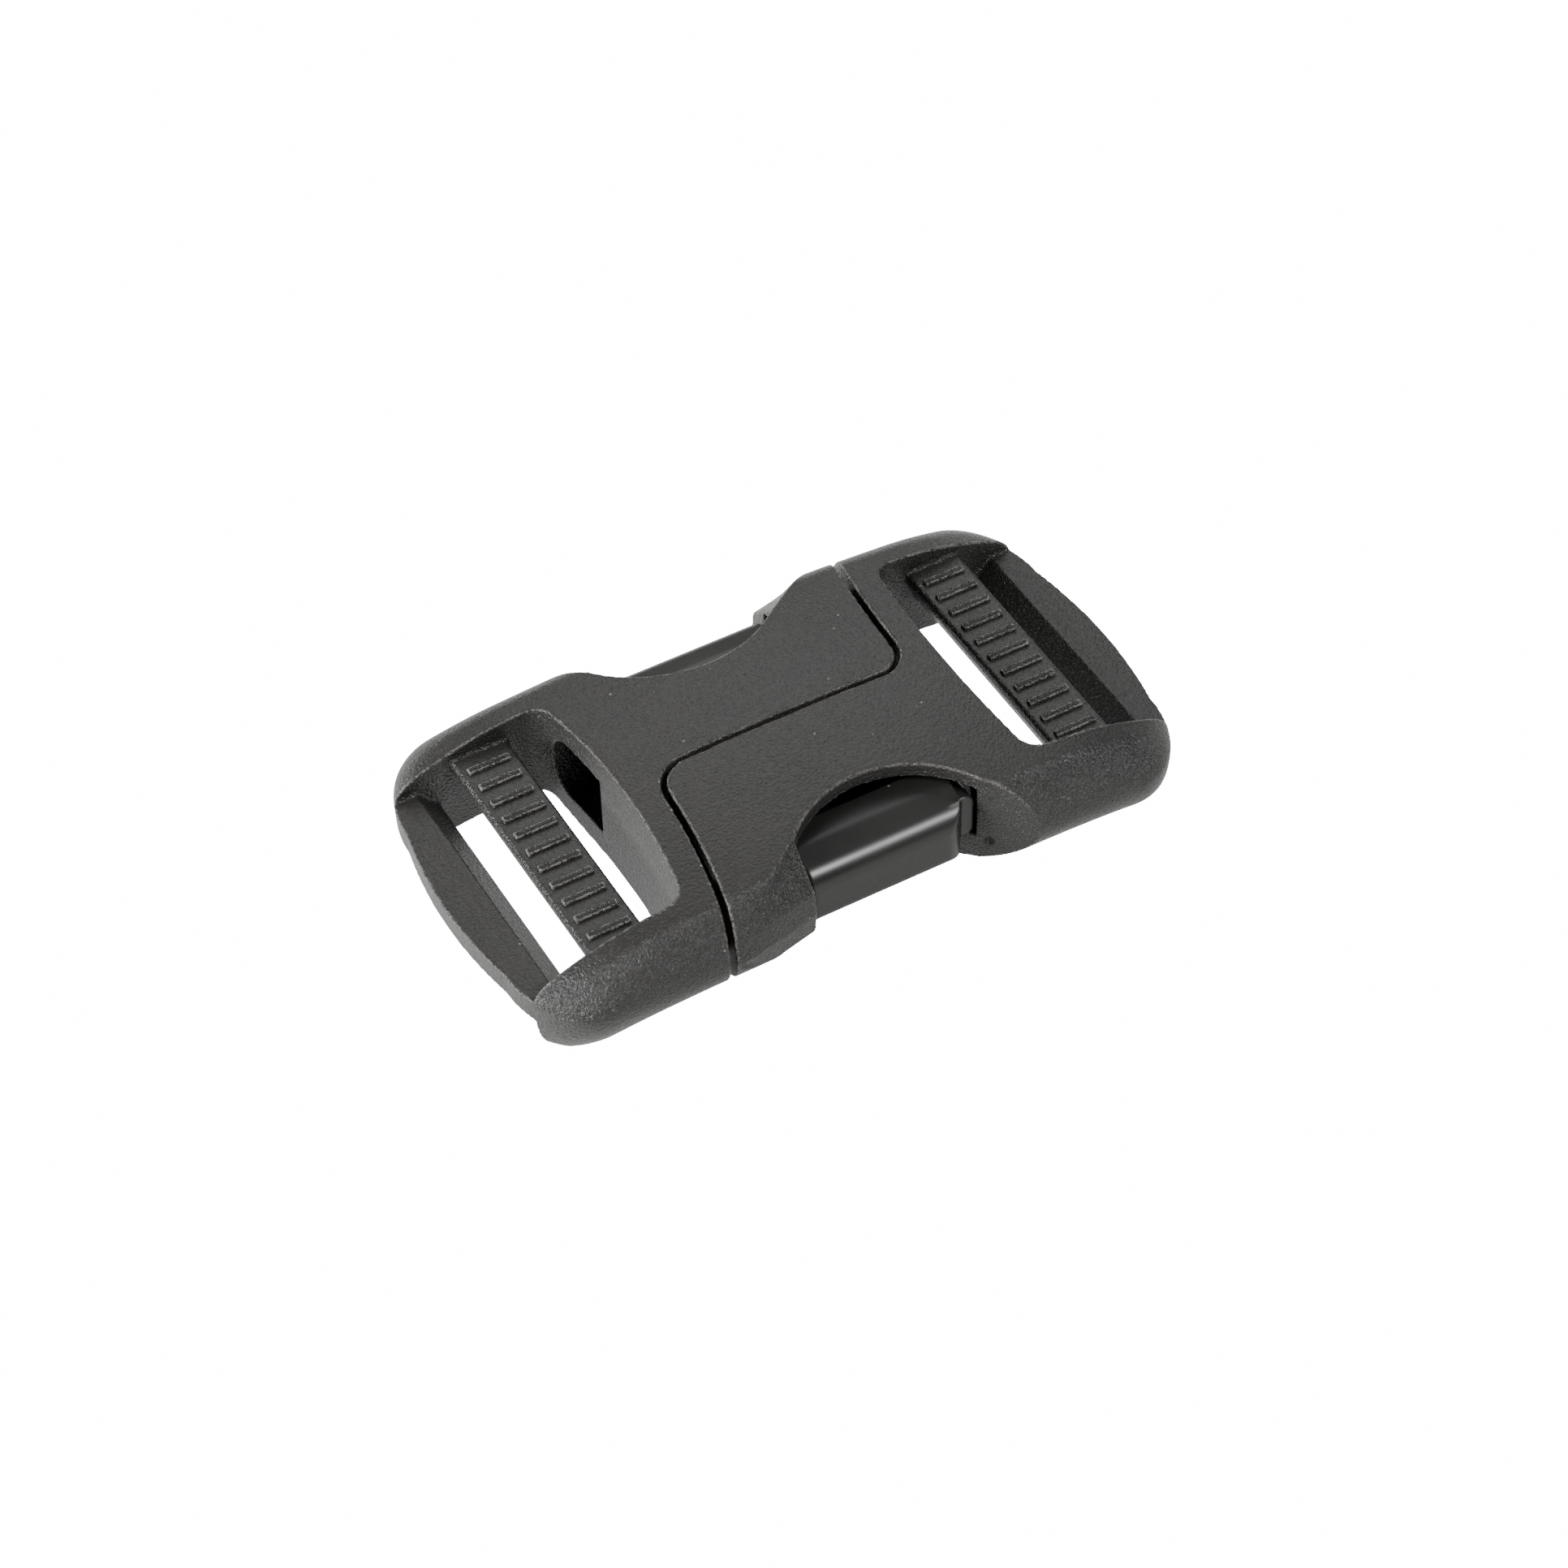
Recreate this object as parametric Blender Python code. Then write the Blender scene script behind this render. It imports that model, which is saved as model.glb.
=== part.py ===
# Side-release buckle for 25 mm webbing: two identical halves that plug into each other.
#
# Each half is one moulding. Its strap frame carries a ribbed bar and a low outer bar, its
# sleeve covers one side of the buckle, and its release arm runs on the other side, through
# the cuff of the other half's sleeve. The arm's head stands in the sleeve's window, and its
# shoulder bears on the cuff until the head is squeezed inward.
#
# X runs along the strap, Y across it and Z up. The origin is the middle of the closed
# buckle, on the parting plane. Half B is half A turned half a turn about Z.

import math

import bmesh
import bpy
from mathutils import Matrix, Vector

MM = 0.001

# Overall form, in mm
LENGTH = 66.0
THICKNESS = 12.6
TOP_RISE = 6.7                 # height of the top above the parting plane
WEBBING_WIDTH = 25.0
WEBBING_SLACK = 0.6            # on each side of the webbing
RAIL_WIDTH = 4.9
TOP_CROWN = 0.8                # fall of the top, from the middle to the webbing's edge
TOP_END_DROP = 2.6             # fall of the top, from the middle to the buckle's end
TOP_ROUNDING = 3.4
BELLY_CROWN = 1.3              # rise of the underside at the webbing's edge
BELLY_ARCH = 2.5               # how much of that rise is gone again at the buckle's ends
BELLY_FLAT = 0.3               # how far the underside's crown is flattened
BELLY_ROUNDING = 4.2
INNER_TIGHTENING = 0.6         # how much of the wall the hollow's rounding is tighter by
CORNER_LENGTH = 6.2
CORNER_WIDTH = 8.6
END_BULGE = 1.0
RAIL_FALL_START = 13.0         # distance from each end where the rails start to fall
RAIL_FALL_RATE = 0.017

# Sleeve, in mm
SEAM_RADIUS = 77.0             # curve of the sleeve's end and of the wall that it meets
SEAM_CORNER = 3.0
SEAM_GAP = 0.6
CENTRE_GAP = 0.45
WALL = 1.5
CENTRE_WALL = 1.5
BACK_WALL = 0.85               # from the sleeve's reach to the end of its hollow
CUFF_LENGTH = 7.8
CUFF_WALL = 4.1                # from the buckle's side to the cuff's inner face
CUFF_NARROWING = 1.7           # how far the cuff's edge stands inside the buckle's side
CREASE_INSET = 5.7             # the same for the crease above the cuff
CUFF_FLAT = 2.4                # height of the cuff's steep side, from the parting plane

# Window that shows the other half's arm head, in mm
WINDOW_RADIUS = 11.1
WINDOW_DEPTH = 8.8             # from the buckle's side to the window's deepest point
WINDOW_PAST = 0.25             # the round's far side, past the sleeve's reach
WINDOW_NEAR = 8.0              # from the cuff's edge to the middle of the round beside it
WINDOW_FLARE = 33.0            # where the end wall leaves the round, degrees from its far side
WINDOW_END = 2.25              # the end wall's outer edge, past the sleeve's reach

# Strap frame, in mm
ROOT_WALL = 3.0
SLOT_CORNER = 2.0
INNER_SLOT = 4.4               # from the root wall to the ribbed bar
GRIP_WIDTH = 5.5
GRIP_SHOULDER = 1.0            # height of the ribbed bar's upright edges
GRIP_FOOT = 2.7
GRIP_TOP = 2.7                 # height of the bar's flat top, without its ribs
GRIP_DEPTH = 4.2
GRIP_EDGE = 0.4                # radii of the bar's edges, from the top down
GRIP_KNEE = 0.8
GRIP_HEEL = 1.0
OUTER_SLOT = 3.5               # from the ribbed bar to the outer bar
OUTER_BAR = 3.75
OUTER_TOP = 0.5
OUTER_SLOPE = 0.6
OUTER_CHAMFER = 2.2
OUTER_DEPTH = 2.5
RIB_COUNT = 11
RIB_LENGTH = 4.1
RIB_WIDTH = 0.75
RIB_HEIGHT = 0.35
RIB_CORNER = 0.3
RIB_MARGIN = 1.0               # between the end ribs' pitch and the rails
CORE_HOLE_NEAR = 4.0           # opening in the root wall, from the centre line
CORE_HOLE_MARGIN = 1.6         # from the opening to the slot's side
CORE_HOLE_SKIN = 3.5           # from the opening to the top
CORE_HOLE_ROUND = 0.8          # share of the opening's half height that its far corners round off

# Release arm, in mm
ARM_CLEARANCE = 0.3
FLEX_GAP = 0.35                # slit where the arm meets the root wall
NECK_THICKNESS = 2.2
SHOULDER = 1.6                 # how far the head stands out from the neck
HEAD_THICKNESS = 5.0
HEAD_CLEARANCE = 0.35          # between the head's top and the cover above it
HEAD_DROP = 1.05               # height of the slope above the head's outer face
HEAD_RISE = 0.6                # height of the slope below it
HEAD_SLOPE = 3.4               # width of that slope
HEAD_CORNER = 1.2              # radius at the head's tip, seen from above
HEAD_FILLET = 2.0              # radii where the head swells out of the neck
NECK_FILLET = 2.5
HEAD_SWELL = 3.0               # length over which it swells
LATCH_CORNER = 0.4             # radius at the outer edge of the latching shoulder
LATCH_ROOT = 0.2
FACE_ROUNDING = 0.9            # radii beside the head's outer face and above its slope
SLOPE_ROUNDING = 1.5
NOSE_LENGTH = 1.3
NOSE_STEP = 1.5                # how far the nose stands inside the head's outer face
NOSE_TOP = 0.5                 # from the head's top down to the nose's top
NOSE_FOOT = 1.7                # from the head's underside up to the nose's foot
NOSE_ROUNDING = 1.1            # radii of the nose's upper and lower edges
NOSE_HEEL = 0.6
NOSE_CLEARANCE = 0.9           # between the nose and the end of its pocket

# Colours of the moulding and roughness of its faces
BODY_TINT = (0.026, 0.025, 0.024)
BODY_ROUGHNESS = 0.5
ARM_TINT = (0.02, 0.02, 0.019)
ARM_ROUGHNESS = 0.32

# Worked out from the sizes above
HALF_LENGTH = LENGTH / 2
BELLY_DEPTH = THICKNESS - TOP_RISE
SLOT_HALF = WEBBING_WIDTH / 2 + WEBBING_SLACK
HALF_WIDTH = SLOT_HALF + RAIL_WIDTH
OUTER_INNER = HALF_LENGTH - OUTER_BAR
GRIP_OUTER = OUTER_INNER - OUTER_SLOT
GRIP_INNER = GRIP_OUTER - GRIP_WIDTH
SLOT_WALL = GRIP_INNER - INNER_SLOT
SLEEVE_REACH = SLOT_WALL - ROOT_WALL    # from the middle to the sleeve's end, on the centre line
CUFF_INNER = HALF_WIDTH - CUFF_WALL
NECK_OUTER = CUFF_INNER - ARM_CLEARANCE
HEAD_OUTER = NECK_OUTER + SHOULDER
POCKET_END = SLEEVE_REACH - BACK_WALL
NOSE_TIP = POCKET_END - NOSE_CLEARANCE
HEAD_TIP = NOSE_TIP - NOSE_LENGTH
OVERSIZE = 5.0                 # how far cutters reach past what they cut


# Outline helpers ------------------------------------------------------------------

def arc(centre, radius, start, end, steps):
    """Points of a circular arc, angles in degrees."""
    points = []
    for i in range(steps + 1):
        angle = math.radians(start + (end - start) * i / steps)
        points.append((centre[0] + radius * math.cos(angle), centre[1] + radius * math.sin(angle)))
    return points


def rounded(corners, steps=5):
    """Closed outline from (x, y, radius) corners, each corner replaced by its arc."""
    outline = []
    count = len(corners)
    for i, (x, y, radius) in enumerate(corners):
        here = Vector((x, y))
        before = (Vector(corners[i - 1][:2]) - here).normalized()
        after = (Vector(corners[(i + 1) % count][:2]) - here).normalized()
        if radius <= 0:
            outline.append((x, y))
            continue
        half = before.angle(after) / 2
        reach = radius / math.tan(half)
        centre = here + (before + after).normalized() * radius / math.sin(half)
        first = here + before * reach - centre
        last = here + after * reach - centre
        turn = first.angle_signed(last)
        for k in range(steps + 1):
            point = centre + first @ Matrix.Rotation(turn * k / steps, 2)
            outline.append((point.x, point.y))
    return outline


def seam_x(y):
    """Distance from the middle to the sleeve's end at a given y."""
    return SLEEVE_REACH + SEAM_RADIUS - math.sqrt(SEAM_RADIUS ** 2 - y ** 2)


def cuff_edge():
    """Distance from the middle to the cuff's edge at the window."""
    return seam_x(CUFF_INNER) - SEAM_GAP / 2 - CUFF_LENGTH


# Solids ----------------------------------------------------------------------------

def acetal(name, tint, roughness):
    """Black moulded plastic."""
    material = bpy.data.materials.new(name)
    material.use_nodes = True
    shader = material.node_tree.nodes["Principled BSDF"]
    shader.inputs["Base Color"].default_value = (*tint, 1.0)
    shader.inputs["Roughness"].default_value = roughness
    shader.inputs["Metallic"].default_value = 0.0
    return material


def new_object(name, mesh, collection):
    thing = bpy.data.objects.new(name, mesh)
    collection.objects.link(thing)
    return thing


def plate(name, outline, low, high, collection, axes="XYZ"):
    """Flat outline, filled and extruded from low to high along the third of the axes."""
    curve = bpy.data.curves.new(name, "CURVE")
    curve.dimensions = "2D"
    curve.fill_mode = "BOTH"
    curve.extrude = (high - low) / 2 * MM
    spline = curve.splines.new("POLY")
    spline.points.add(len(outline) - 1)
    for point, (a, b) in zip(spline.points, outline):
        point.co = (a * MM, b * MM, 0, 1)
    spline.use_cyclic_u = True
    guide = new_object(name + "_outline", curve, collection)
    mesh = bpy.data.meshes.new_from_object(guide.evaluated_get(bpy.context.evaluated_depsgraph_get()))
    bpy.data.objects.remove(guide)
    mesh.transform(Matrix.Translation((0, 0, (high + low) / 2 * MM)))
    columns = [("XYZ".index(axis)) for axis in axes]
    turn = Matrix([[1.0 if columns[k] == row else 0.0 for k in range(3)] for row in range(3)])
    mesh.transform(turn.to_4x4())
    solid = bmesh.new()
    solid.from_mesh(mesh)
    bmesh.ops.remove_doubles(solid, verts=solid.verts, dist=0.002 * MM)
    bmesh.ops.recalc_face_normals(solid, faces=solid.faces)
    solid.to_mesh(mesh)
    solid.free()
    return new_object(name, mesh, collection)


def combine(target, tool, operation):
    """Apply a Boolean to the target and remove the tool."""
    modifier = target.modifiers.new(operation.lower(), "BOOLEAN")
    modifier.operation = operation
    modifier.object = tool
    modifier.solver = "EXACT"
    graph = bpy.context.evaluated_depsgraph_get()
    mesh = bpy.data.meshes.new_from_object(target.evaluated_get(graph))
    target.modifiers.clear()
    target.data = mesh
    bpy.data.objects.remove(tool)
    return target


def loft(name, sections, collection):
    """Closed solid through rings of (y, z) points, each standing at its own x."""
    solid = bmesh.new()
    rings = []
    for x, line in sections:
        rings.append([solid.verts.new((x * MM, y * MM, z * MM)) for y, z in line])
    for first, second in zip(rings, rings[1:]):
        for k in range(len(first)):
            following = (k + 1) % len(first)
            solid.faces.new((first[k], first[following], second[following], second[k]))
    solid.faces.new(rings[0])
    solid.faces.new(rings[-1])
    bmesh.ops.recalc_face_normals(solid, faces=solid.faces)
    mesh = bpy.data.meshes.new(name)
    solid.to_mesh(mesh)
    solid.free()
    return new_object(name, mesh, collection)


# The buckle's outer form --------------------------------------------------------------

def corner_fraction(x):
    """0 up to where the plan's corner starts, 1 at the end of the buckle."""
    start = HALF_LENGTH - END_BULGE - CORNER_LENGTH
    return min(max((abs(x) - start) / CORNER_LENGTH, 0.0), 1.0)


def half_width(x):
    along = corner_fraction(x)
    return HALF_WIDTH - CORNER_WIDTH * (1 - math.sqrt(1 - along ** 2))


def across_share(y):
    """How far y stands toward the webbing's edge, squared, for the crowns."""
    return (y / (WEBBING_WIDTH / 2)) ** 2


def top_height(x, y):
    drop = TOP_CROWN * across_share(y) + TOP_END_DROP * (x / HALF_LENGTH) ** 2
    fall = RAIL_FALL_RATE * max(abs(x) - (HALF_LENGTH - RAIL_FALL_START), 0) ** 2
    return TOP_RISE - drop - fall


def belly_depth(x, y):
    arch = BELLY_ARCH * (x / HALF_LENGTH) ** 4 - BELLY_CROWN * across_share(y)
    return BELLY_DEPTH + min(BELLY_FLAT + arch, 0)


def side_share(inside, rounding):
    """Share of the full height that the rounded side leaves this far inside it."""
    if inside >= rounding:
        return 1.0
    return math.sqrt(max(1 - (1 - inside / rounding) ** 2, 0.0))


def top_surface(x, y):
    """Height of the buckle's top, with its rounded sides."""
    return top_height(x, y) * side_share(half_width(x) - abs(y), TOP_ROUNDING)


def rounded_line(width, rounding):
    """Places across the buckle and their share of the height, from one side to the other."""
    rounding = min(rounding, width * 0.9)
    flat = width - rounding
    corner = []
    for k in range(6):
        angle = math.radians(90 * k / 6)
        corner.append((width - rounding * (1 - math.cos(angle)), math.sin(angle)))
    middle = [(flat - 2 * flat * k / 6, 1.0) for k in range(7)]
    return corner + middle + [(-y, share) for y, share in reversed(corner)]


def section(x, inset):
    """Closed ring of points across the buckle at x, drawn in by the inset."""
    width = half_width(x) - inset
    softening = inset * INNER_TIGHTENING
    ring = []
    for y, share in rounded_line(width, TOP_ROUNDING - softening):
        ring.append((y, (top_height(x, y) - inset) * share))
    for y, share in reversed(rounded_line(width, BELLY_ROUNDING - softening)[1:-1]):
        ring.append((y, -(belly_depth(x, y) - inset) * share))
    return ring


def stations():
    """Places along X where the form's sections stand, closer together at the round ends."""
    middle = HALF_LENGTH - END_BULGE - CORNER_LENGTH
    places = [middle * k / 8 for k in range(8)]
    for k in range(8):
        places.append(middle + CORNER_LENGTH * math.sin(math.radians(90 * k / 7)))
    return [-x for x in reversed(places[1:])] + places


def pebble(name, inset, collection):
    """The whole buckle's outer form, lofted through its cross sections."""
    solid = bmesh.new()
    rings = []
    for x in stations():
        bulge = END_BULGE * corner_fraction(x) ** 2 * math.copysign(1, x)
        width = half_width(x)
        ring = []
        for y, z in section(x, inset):
            place = x + bulge * (1 - (y / width) ** 2)
            ring.append(solid.verts.new((place * MM, y * MM, z * MM)))
        rings.append(ring)
    for first, second in zip(rings, rings[1:]):
        count = len(first)
        for k in range(count):
            following = (k + 1) % count
            solid.faces.new((first[k], first[following], second[following], second[k]))
    count = len(rings[0])
    for ring in (rings[0], rings[-1]):
        for k in range(count // 2 - 1):
            corners = [ring[k], ring[k + 1], ring[-k - 1]]
            if k:
                corners.append(ring[-k])
            solid.faces.new(corners)
        solid.faces.new((ring[count // 2 - 1], ring[count // 2], ring[count // 2 + 1]))
    bmesh.ops.recalc_face_normals(solid, faces=solid.faces)
    mesh = bpy.data.meshes.new(name)
    solid.to_mesh(mesh)
    solid.free()
    return new_object(name, mesh, collection)


# Half A's body --------------------------------------------------------------------------

def half_outline():
    """Plan of half A: the frame across the full width, and the sleeve on the +Y side."""
    far = HALF_WIDTH + OVERSIZE
    end = HALF_LENGTH + OVERSIZE
    gap = SEAM_GAP / 2
    side = CENTRE_GAP / 2
    steps = 10
    inner = SEAM_CORNER + gap
    outer = SEAM_CORNER - gap
    outline = [(-end, -far)]
    for k in range(steps + 1):
        y = -far + (far - inner + side) * k / steps
        outline.append((-seam_x(y) - gap, y))
    corner = (-seam_x(0) - gap + inner, side - inner)
    outline += arc(corner, inner, 180, 90, 6)[1:]
    corner = (seam_x(0) - gap - outer, side + outer)
    outline += arc(corner, outer, -90, 0, 6)
    for k in range(1, steps + 1):
        y = corner[1] + (far - corner[1]) * k / steps
        outline.append((seam_x(y) - gap, y))
    outline.append((-end, far))
    return outline


def slot_outline():
    """Plan of the strap slot, open at the buckle's end."""
    end = HALF_LENGTH + OVERSIZE
    outline = [(-end, -SLOT_HALF)]
    turn = SLOT_HALF - SLOT_CORNER
    centre = -(seam_x(turn) + ROOT_WALL + SLOT_CORNER)
    outline += arc((centre, -turn), SLOT_CORNER, -90, 0, 5)
    for k in range(1, 12):
        y = -turn + 2 * turn * k / 12
        outline.append((-(seam_x(y) + ROOT_WALL), y))
    outline += arc((centre, turn), SLOT_CORNER, 0, 90, 5)
    outline.append((-end, SLOT_HALF))
    return outline


def grip_profile():
    """Section of the ribbed bar in X and Z: flat on top, narrow and round below."""
    middle = -(GRIP_INNER + GRIP_WIDTH / 2)
    low = GRIP_TOP - GRIP_DEPTH
    corners = [
        (middle + GRIP_WIDTH / 2, GRIP_TOP, GRIP_EDGE),
        (middle + GRIP_WIDTH / 2, GRIP_TOP - GRIP_SHOULDER, GRIP_KNEE),
        (middle + GRIP_FOOT / 2, low, GRIP_HEEL),
        (middle - GRIP_FOOT / 2, low, GRIP_HEEL),
        (middle - GRIP_WIDTH / 2, GRIP_TOP - GRIP_SHOULDER, GRIP_KNEE),
        (middle - GRIP_WIDTH / 2, GRIP_TOP, GRIP_EDGE),
    ]
    return rounded(corners, 3)


def outer_bar_profile():
    """Section of the outer bar in X and Z, with its slope toward the slot."""
    low = OUTER_TOP - OUTER_DEPTH
    end = HALF_LENGTH + OVERSIZE
    return [
        (-OUTER_INNER, OUTER_TOP),
        (-OUTER_INNER + OUTER_CHAMFER, low),
        (-end, low),
        (-end, OUTER_TOP - OUTER_SLOPE),
    ]


def window_outline():
    """Plan of the window in the sleeve's outer side: a scallop from the cuff to a flared end wall."""
    height = HALF_WIDTH - WINDOW_DEPTH + WINDOW_RADIUS
    near = (cuff_edge() - WINDOW_NEAR, height)
    far = (WINDOW_RADIUS - SLEEVE_REACH - WINDOW_PAST, height)
    crossing = math.degrees(math.asin(max(far[0] - near[0], 0) / 2 / WINDOW_RADIUS))
    start = math.degrees(math.acos(WINDOW_NEAR / WINDOW_RADIUS))
    outline = arc(near, WINDOW_RADIUS, -start, crossing - 90, 8)
    outline += arc(far, WINDOW_RADIUS, -90 - crossing, WINDOW_FLARE - 180, 8)[1:]
    last = Vector(outline[-1])
    rim = Vector((-SLEEVE_REACH - WINDOW_END, HALF_WIDTH))
    side = HALF_WIDTH + OVERSIZE
    past = last + (rim - last) * (side - last.y) / (rim.y - last.y)
    return outline + [(past.x, past.y), (cuff_edge(), side)]


def head_reach():
    """Heights of the arm's head above and below the parting plane, as the hollow at the cuff allows."""
    y = HEAD_OUTER - HEAD_SLOPE
    skin = WALL + HEAD_CLEARANCE
    return top_height(cuff_edge() + CUFF_LENGTH, y) - skin, belly_depth(cuff_edge(), y) - skin


def nose_foot():
    return NOSE_FOOT - head_reach()[1]


def cavity_outline():
    """Plan of the hollow behind the sleeve's cover plates."""
    inner = CENTRE_GAP / 2 + CENTRE_WALL
    return [
        (-POCKET_END, inner),
        (SLEEVE_REACH + OVERSIZE, inner),
        (SLEEVE_REACH + OVERSIZE, CUFF_INNER),
        (-POCKET_END, CUFF_INNER),
    ]


def pocket_sill(cutters):
    """The block below the pocket that takes the arm's nose, at the end of the hollow."""
    end = HEAD_TIP + ARM_CLEARANCE
    side = HALF_WIDTH + OVERSIZE
    high = nose_foot() - ARM_CLEARANCE
    outline = [(-POCKET_END - OVERSIZE, 0), (-end, 0), (-end, side), (-POCKET_END - OVERSIZE, side)]
    return plate("sill", outline, -BELLY_DEPTH - OVERSIZE, high, cutters)


def cuff_relief(cutters):
    """The wedge that narrows the cuff toward the window, lofted through sections in Y and Z."""
    far = HALF_WIDTH + OVERSIZE
    high = TOP_RISE + OVERSIZE
    overlap = 0.05                 # keeps the wedge off the buckle's side where it runs out
    lean = 0.3                     # of the steep side, from the parting plane to the knee
    sections = []
    for share in (-0.15, 0.0, 0.25, 0.5, 0.75, 1.0, 1.1):
        x = cuff_edge() + CUFF_LENGTH * share
        side = HALF_WIDTH - CUFF_NARROWING * (1 - share) + overlap
        crease = HALF_WIDTH - CREASE_INSET * (1 - share) + overlap
        rise = max(top_surface(x, crease), CUFF_FLAT / 2)
        knee = min(CUFF_FLAT, rise / 2)
        line = [(crease, high), (crease, rise), (side - lean, knee), (side, 0.0)]
        line += [(y, -z) for y, z in reversed(line[:-1])]
        sections.append((x, line + [(far, -high), (far, high)]))
    return loft("cuff_relief", sections, cutters)


def make_grip_bar(cutters):
    """The ribbed bar that the webbing wraps round, longer than the slot is wide."""
    reach = SLOT_HALF + RAIL_WIDTH / 2
    grip = plate("grip_bar", grip_profile(), -reach, reach, cutters, "XZY")
    pitch = 2 * (SLOT_HALF - RIB_MARGIN) / RIB_COUNT
    middle = -(GRIP_INNER + GRIP_WIDTH / 2)
    for k in range(RIB_COUNT):
        y = (k - (RIB_COUNT - 1) / 2) * pitch
        corners = [
            (middle - RIB_LENGTH / 2, y - RIB_WIDTH / 2, RIB_CORNER),
            (middle + RIB_LENGTH / 2, y - RIB_WIDTH / 2, RIB_CORNER),
            (middle + RIB_LENGTH / 2, y + RIB_WIDTH / 2, RIB_CORNER),
            (middle - RIB_LENGTH / 2, y + RIB_WIDTH / 2, RIB_CORNER),
        ]
        rib = plate("rib", rounded(corners, 2), GRIP_TOP - RIB_HEIGHT, GRIP_TOP + RIB_HEIGHT, cutters)
        combine(grip, rib, "UNION")
    return grip


def make_slot_cutter(cutters):
    """Everything that the strap slots take away, which leaves the two bars standing."""
    far = TOP_RISE + OVERSIZE
    reach = SLOT_HALF + RAIL_WIDTH / 2
    cutter = plate("slot", slot_outline(), -far, far, cutters)
    outer = plate("outer_bar", outer_bar_profile(), -reach, reach, cutters, "XZY")
    combine(cutter, outer, "DIFFERENCE")
    combine(cutter, make_grip_bar(cutters), "DIFFERENCE")
    return cutter


def core_hole(cutters):
    """The opening through the root wall into the hollow, straight on one side and round on the other."""
    half = TOP_RISE - CORE_HOLE_SKIN
    near = CORE_HOLE_NEAR
    end = SLOT_HALF - CORE_HOLE_MARGIN
    round_off = half * CORE_HOLE_ROUND
    hole = [(near, -half, 0), (end, -half, round_off), (end, half, round_off), (near, half, 0)]
    overlap = 1.0                  # into the slot and into the hollow
    low = -seam_x(end) - ROOT_WALL - overlap
    return plate("core", rounded(hole, 4), low, overlap - POCKET_END, cutters, "YZX")


def make_body(name, collection, cutters):
    body = pebble(name, 0, collection)
    far = TOP_RISE + OVERSIZE
    plan = plate("half_plan", half_outline(), -far, far, cutters)
    combine(body, plan, "INTERSECT")
    combine(body, make_slot_cutter(cutters), "DIFFERENCE")
    hollow = pebble("hollow", WALL, cutters)
    inside = plate("inside", cavity_outline(), -far, far, cutters)
    combine(hollow, inside, "INTERSECT")
    combine(hollow, pocket_sill(cutters), "DIFFERENCE")
    combine(body, hollow, "DIFFERENCE")
    window = plate("window", window_outline(), -far, far, cutters)
    combine(body, window, "DIFFERENCE")
    combine(body, cuff_relief(cutters), "DIFFERENCE")
    combine(body, core_hole(cutters), "DIFFERENCE")
    return body


# Half A's release arm -----------------------------------------------------------------------

def wall_face(y):
    """Face of the root wall, from the middle, where the arm grows out of it."""
    return seam_x(y) + SEAM_GAP / 2


def arm_outline():
    """Plan of the arm on the -Y side: a slim neck, then the head."""
    neck_inner = NECK_OUTER - NECK_THICKNESS
    head = ARM_CLEARANCE - cuff_edge()
    inner = HEAD_OUTER - HEAD_THICKNESS
    corners = [
        (FLEX_GAP - wall_face(NECK_OUTER), -NECK_OUTER, 0),
        (head, -NECK_OUTER, LATCH_ROOT),
        (head, -HEAD_OUTER, LATCH_CORNER),
        (HEAD_TIP, -HEAD_OUTER, HEAD_CORNER),
        (HEAD_TIP, -inner, HEAD_CORNER),
        (head + HEAD_SWELL * 2 / 3, -inner, HEAD_FILLET),
        (head - HEAD_SWELL / 3, -neck_inner, NECK_FILLET),
        (FLEX_GAP - wall_face(neck_inner), -neck_inner, 0),
    ]
    return rounded(corners, 4)


def head_profile():
    """Section of the arm's head in Y and Z: flat outer face, then slopes to top and bottom."""
    inner = HEAD_OUTER - HEAD_THICKNESS - OVERSIZE
    slope = HEAD_OUTER - HEAD_SLOPE
    top, low = head_reach()
    corners = [
        (-HEAD_OUTER, HEAD_RISE - low, FACE_ROUNDING),
        (-HEAD_OUTER, top - HEAD_DROP, FACE_ROUNDING),
        (-slope, top, SLOPE_ROUNDING),
        (-inner, top, 0),
        (-inner, -low, 0),
        (-slope, -low, SLOPE_ROUNDING),
    ]
    return rounded(corners, 4)


def nose_profile():
    """Side of the nose in X and Z, a rounded tab that starts inside the head."""
    top = head_reach()[0] - NOSE_TOP
    start = HEAD_TIP - NOSE_LENGTH
    low = nose_foot()
    corners = [(start, low, 0), (NOSE_TIP, low, NOSE_HEEL), (NOSE_TIP, top, NOSE_ROUNDING), (start, top, 0)]
    return rounded(corners, 4)


def flexure():
    """Where the arm bends, at the middle of its root on the root wall."""
    middle = NECK_OUTER - NECK_THICKNESS / 2
    return FLEX_GAP - wall_face(middle), -middle


def make_arm(name, collection, cutters):
    far = TOP_RISE + OVERSIZE
    arm = plate(name, arm_outline(), -far, far, collection)
    shape = plate("head_shape", head_profile(), -HALF_LENGTH, HALF_LENGTH, cutters, "YZX")
    combine(arm, shape, "INTERSECT")
    outer = HEAD_OUTER - NOSE_STEP
    inner = HEAD_OUTER - HEAD_THICKNESS + NOSE_STEP / 2
    nose = plate("nose", nose_profile(), -outer, -inner, cutters, "XZY")
    combine(arm, nose, "UNION")
    pivot_x, pivot_y = flexure()
    arm.data.transform(Matrix.Translation((-pivot_x * MM, -pivot_y * MM, 0)))
    return arm


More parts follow.
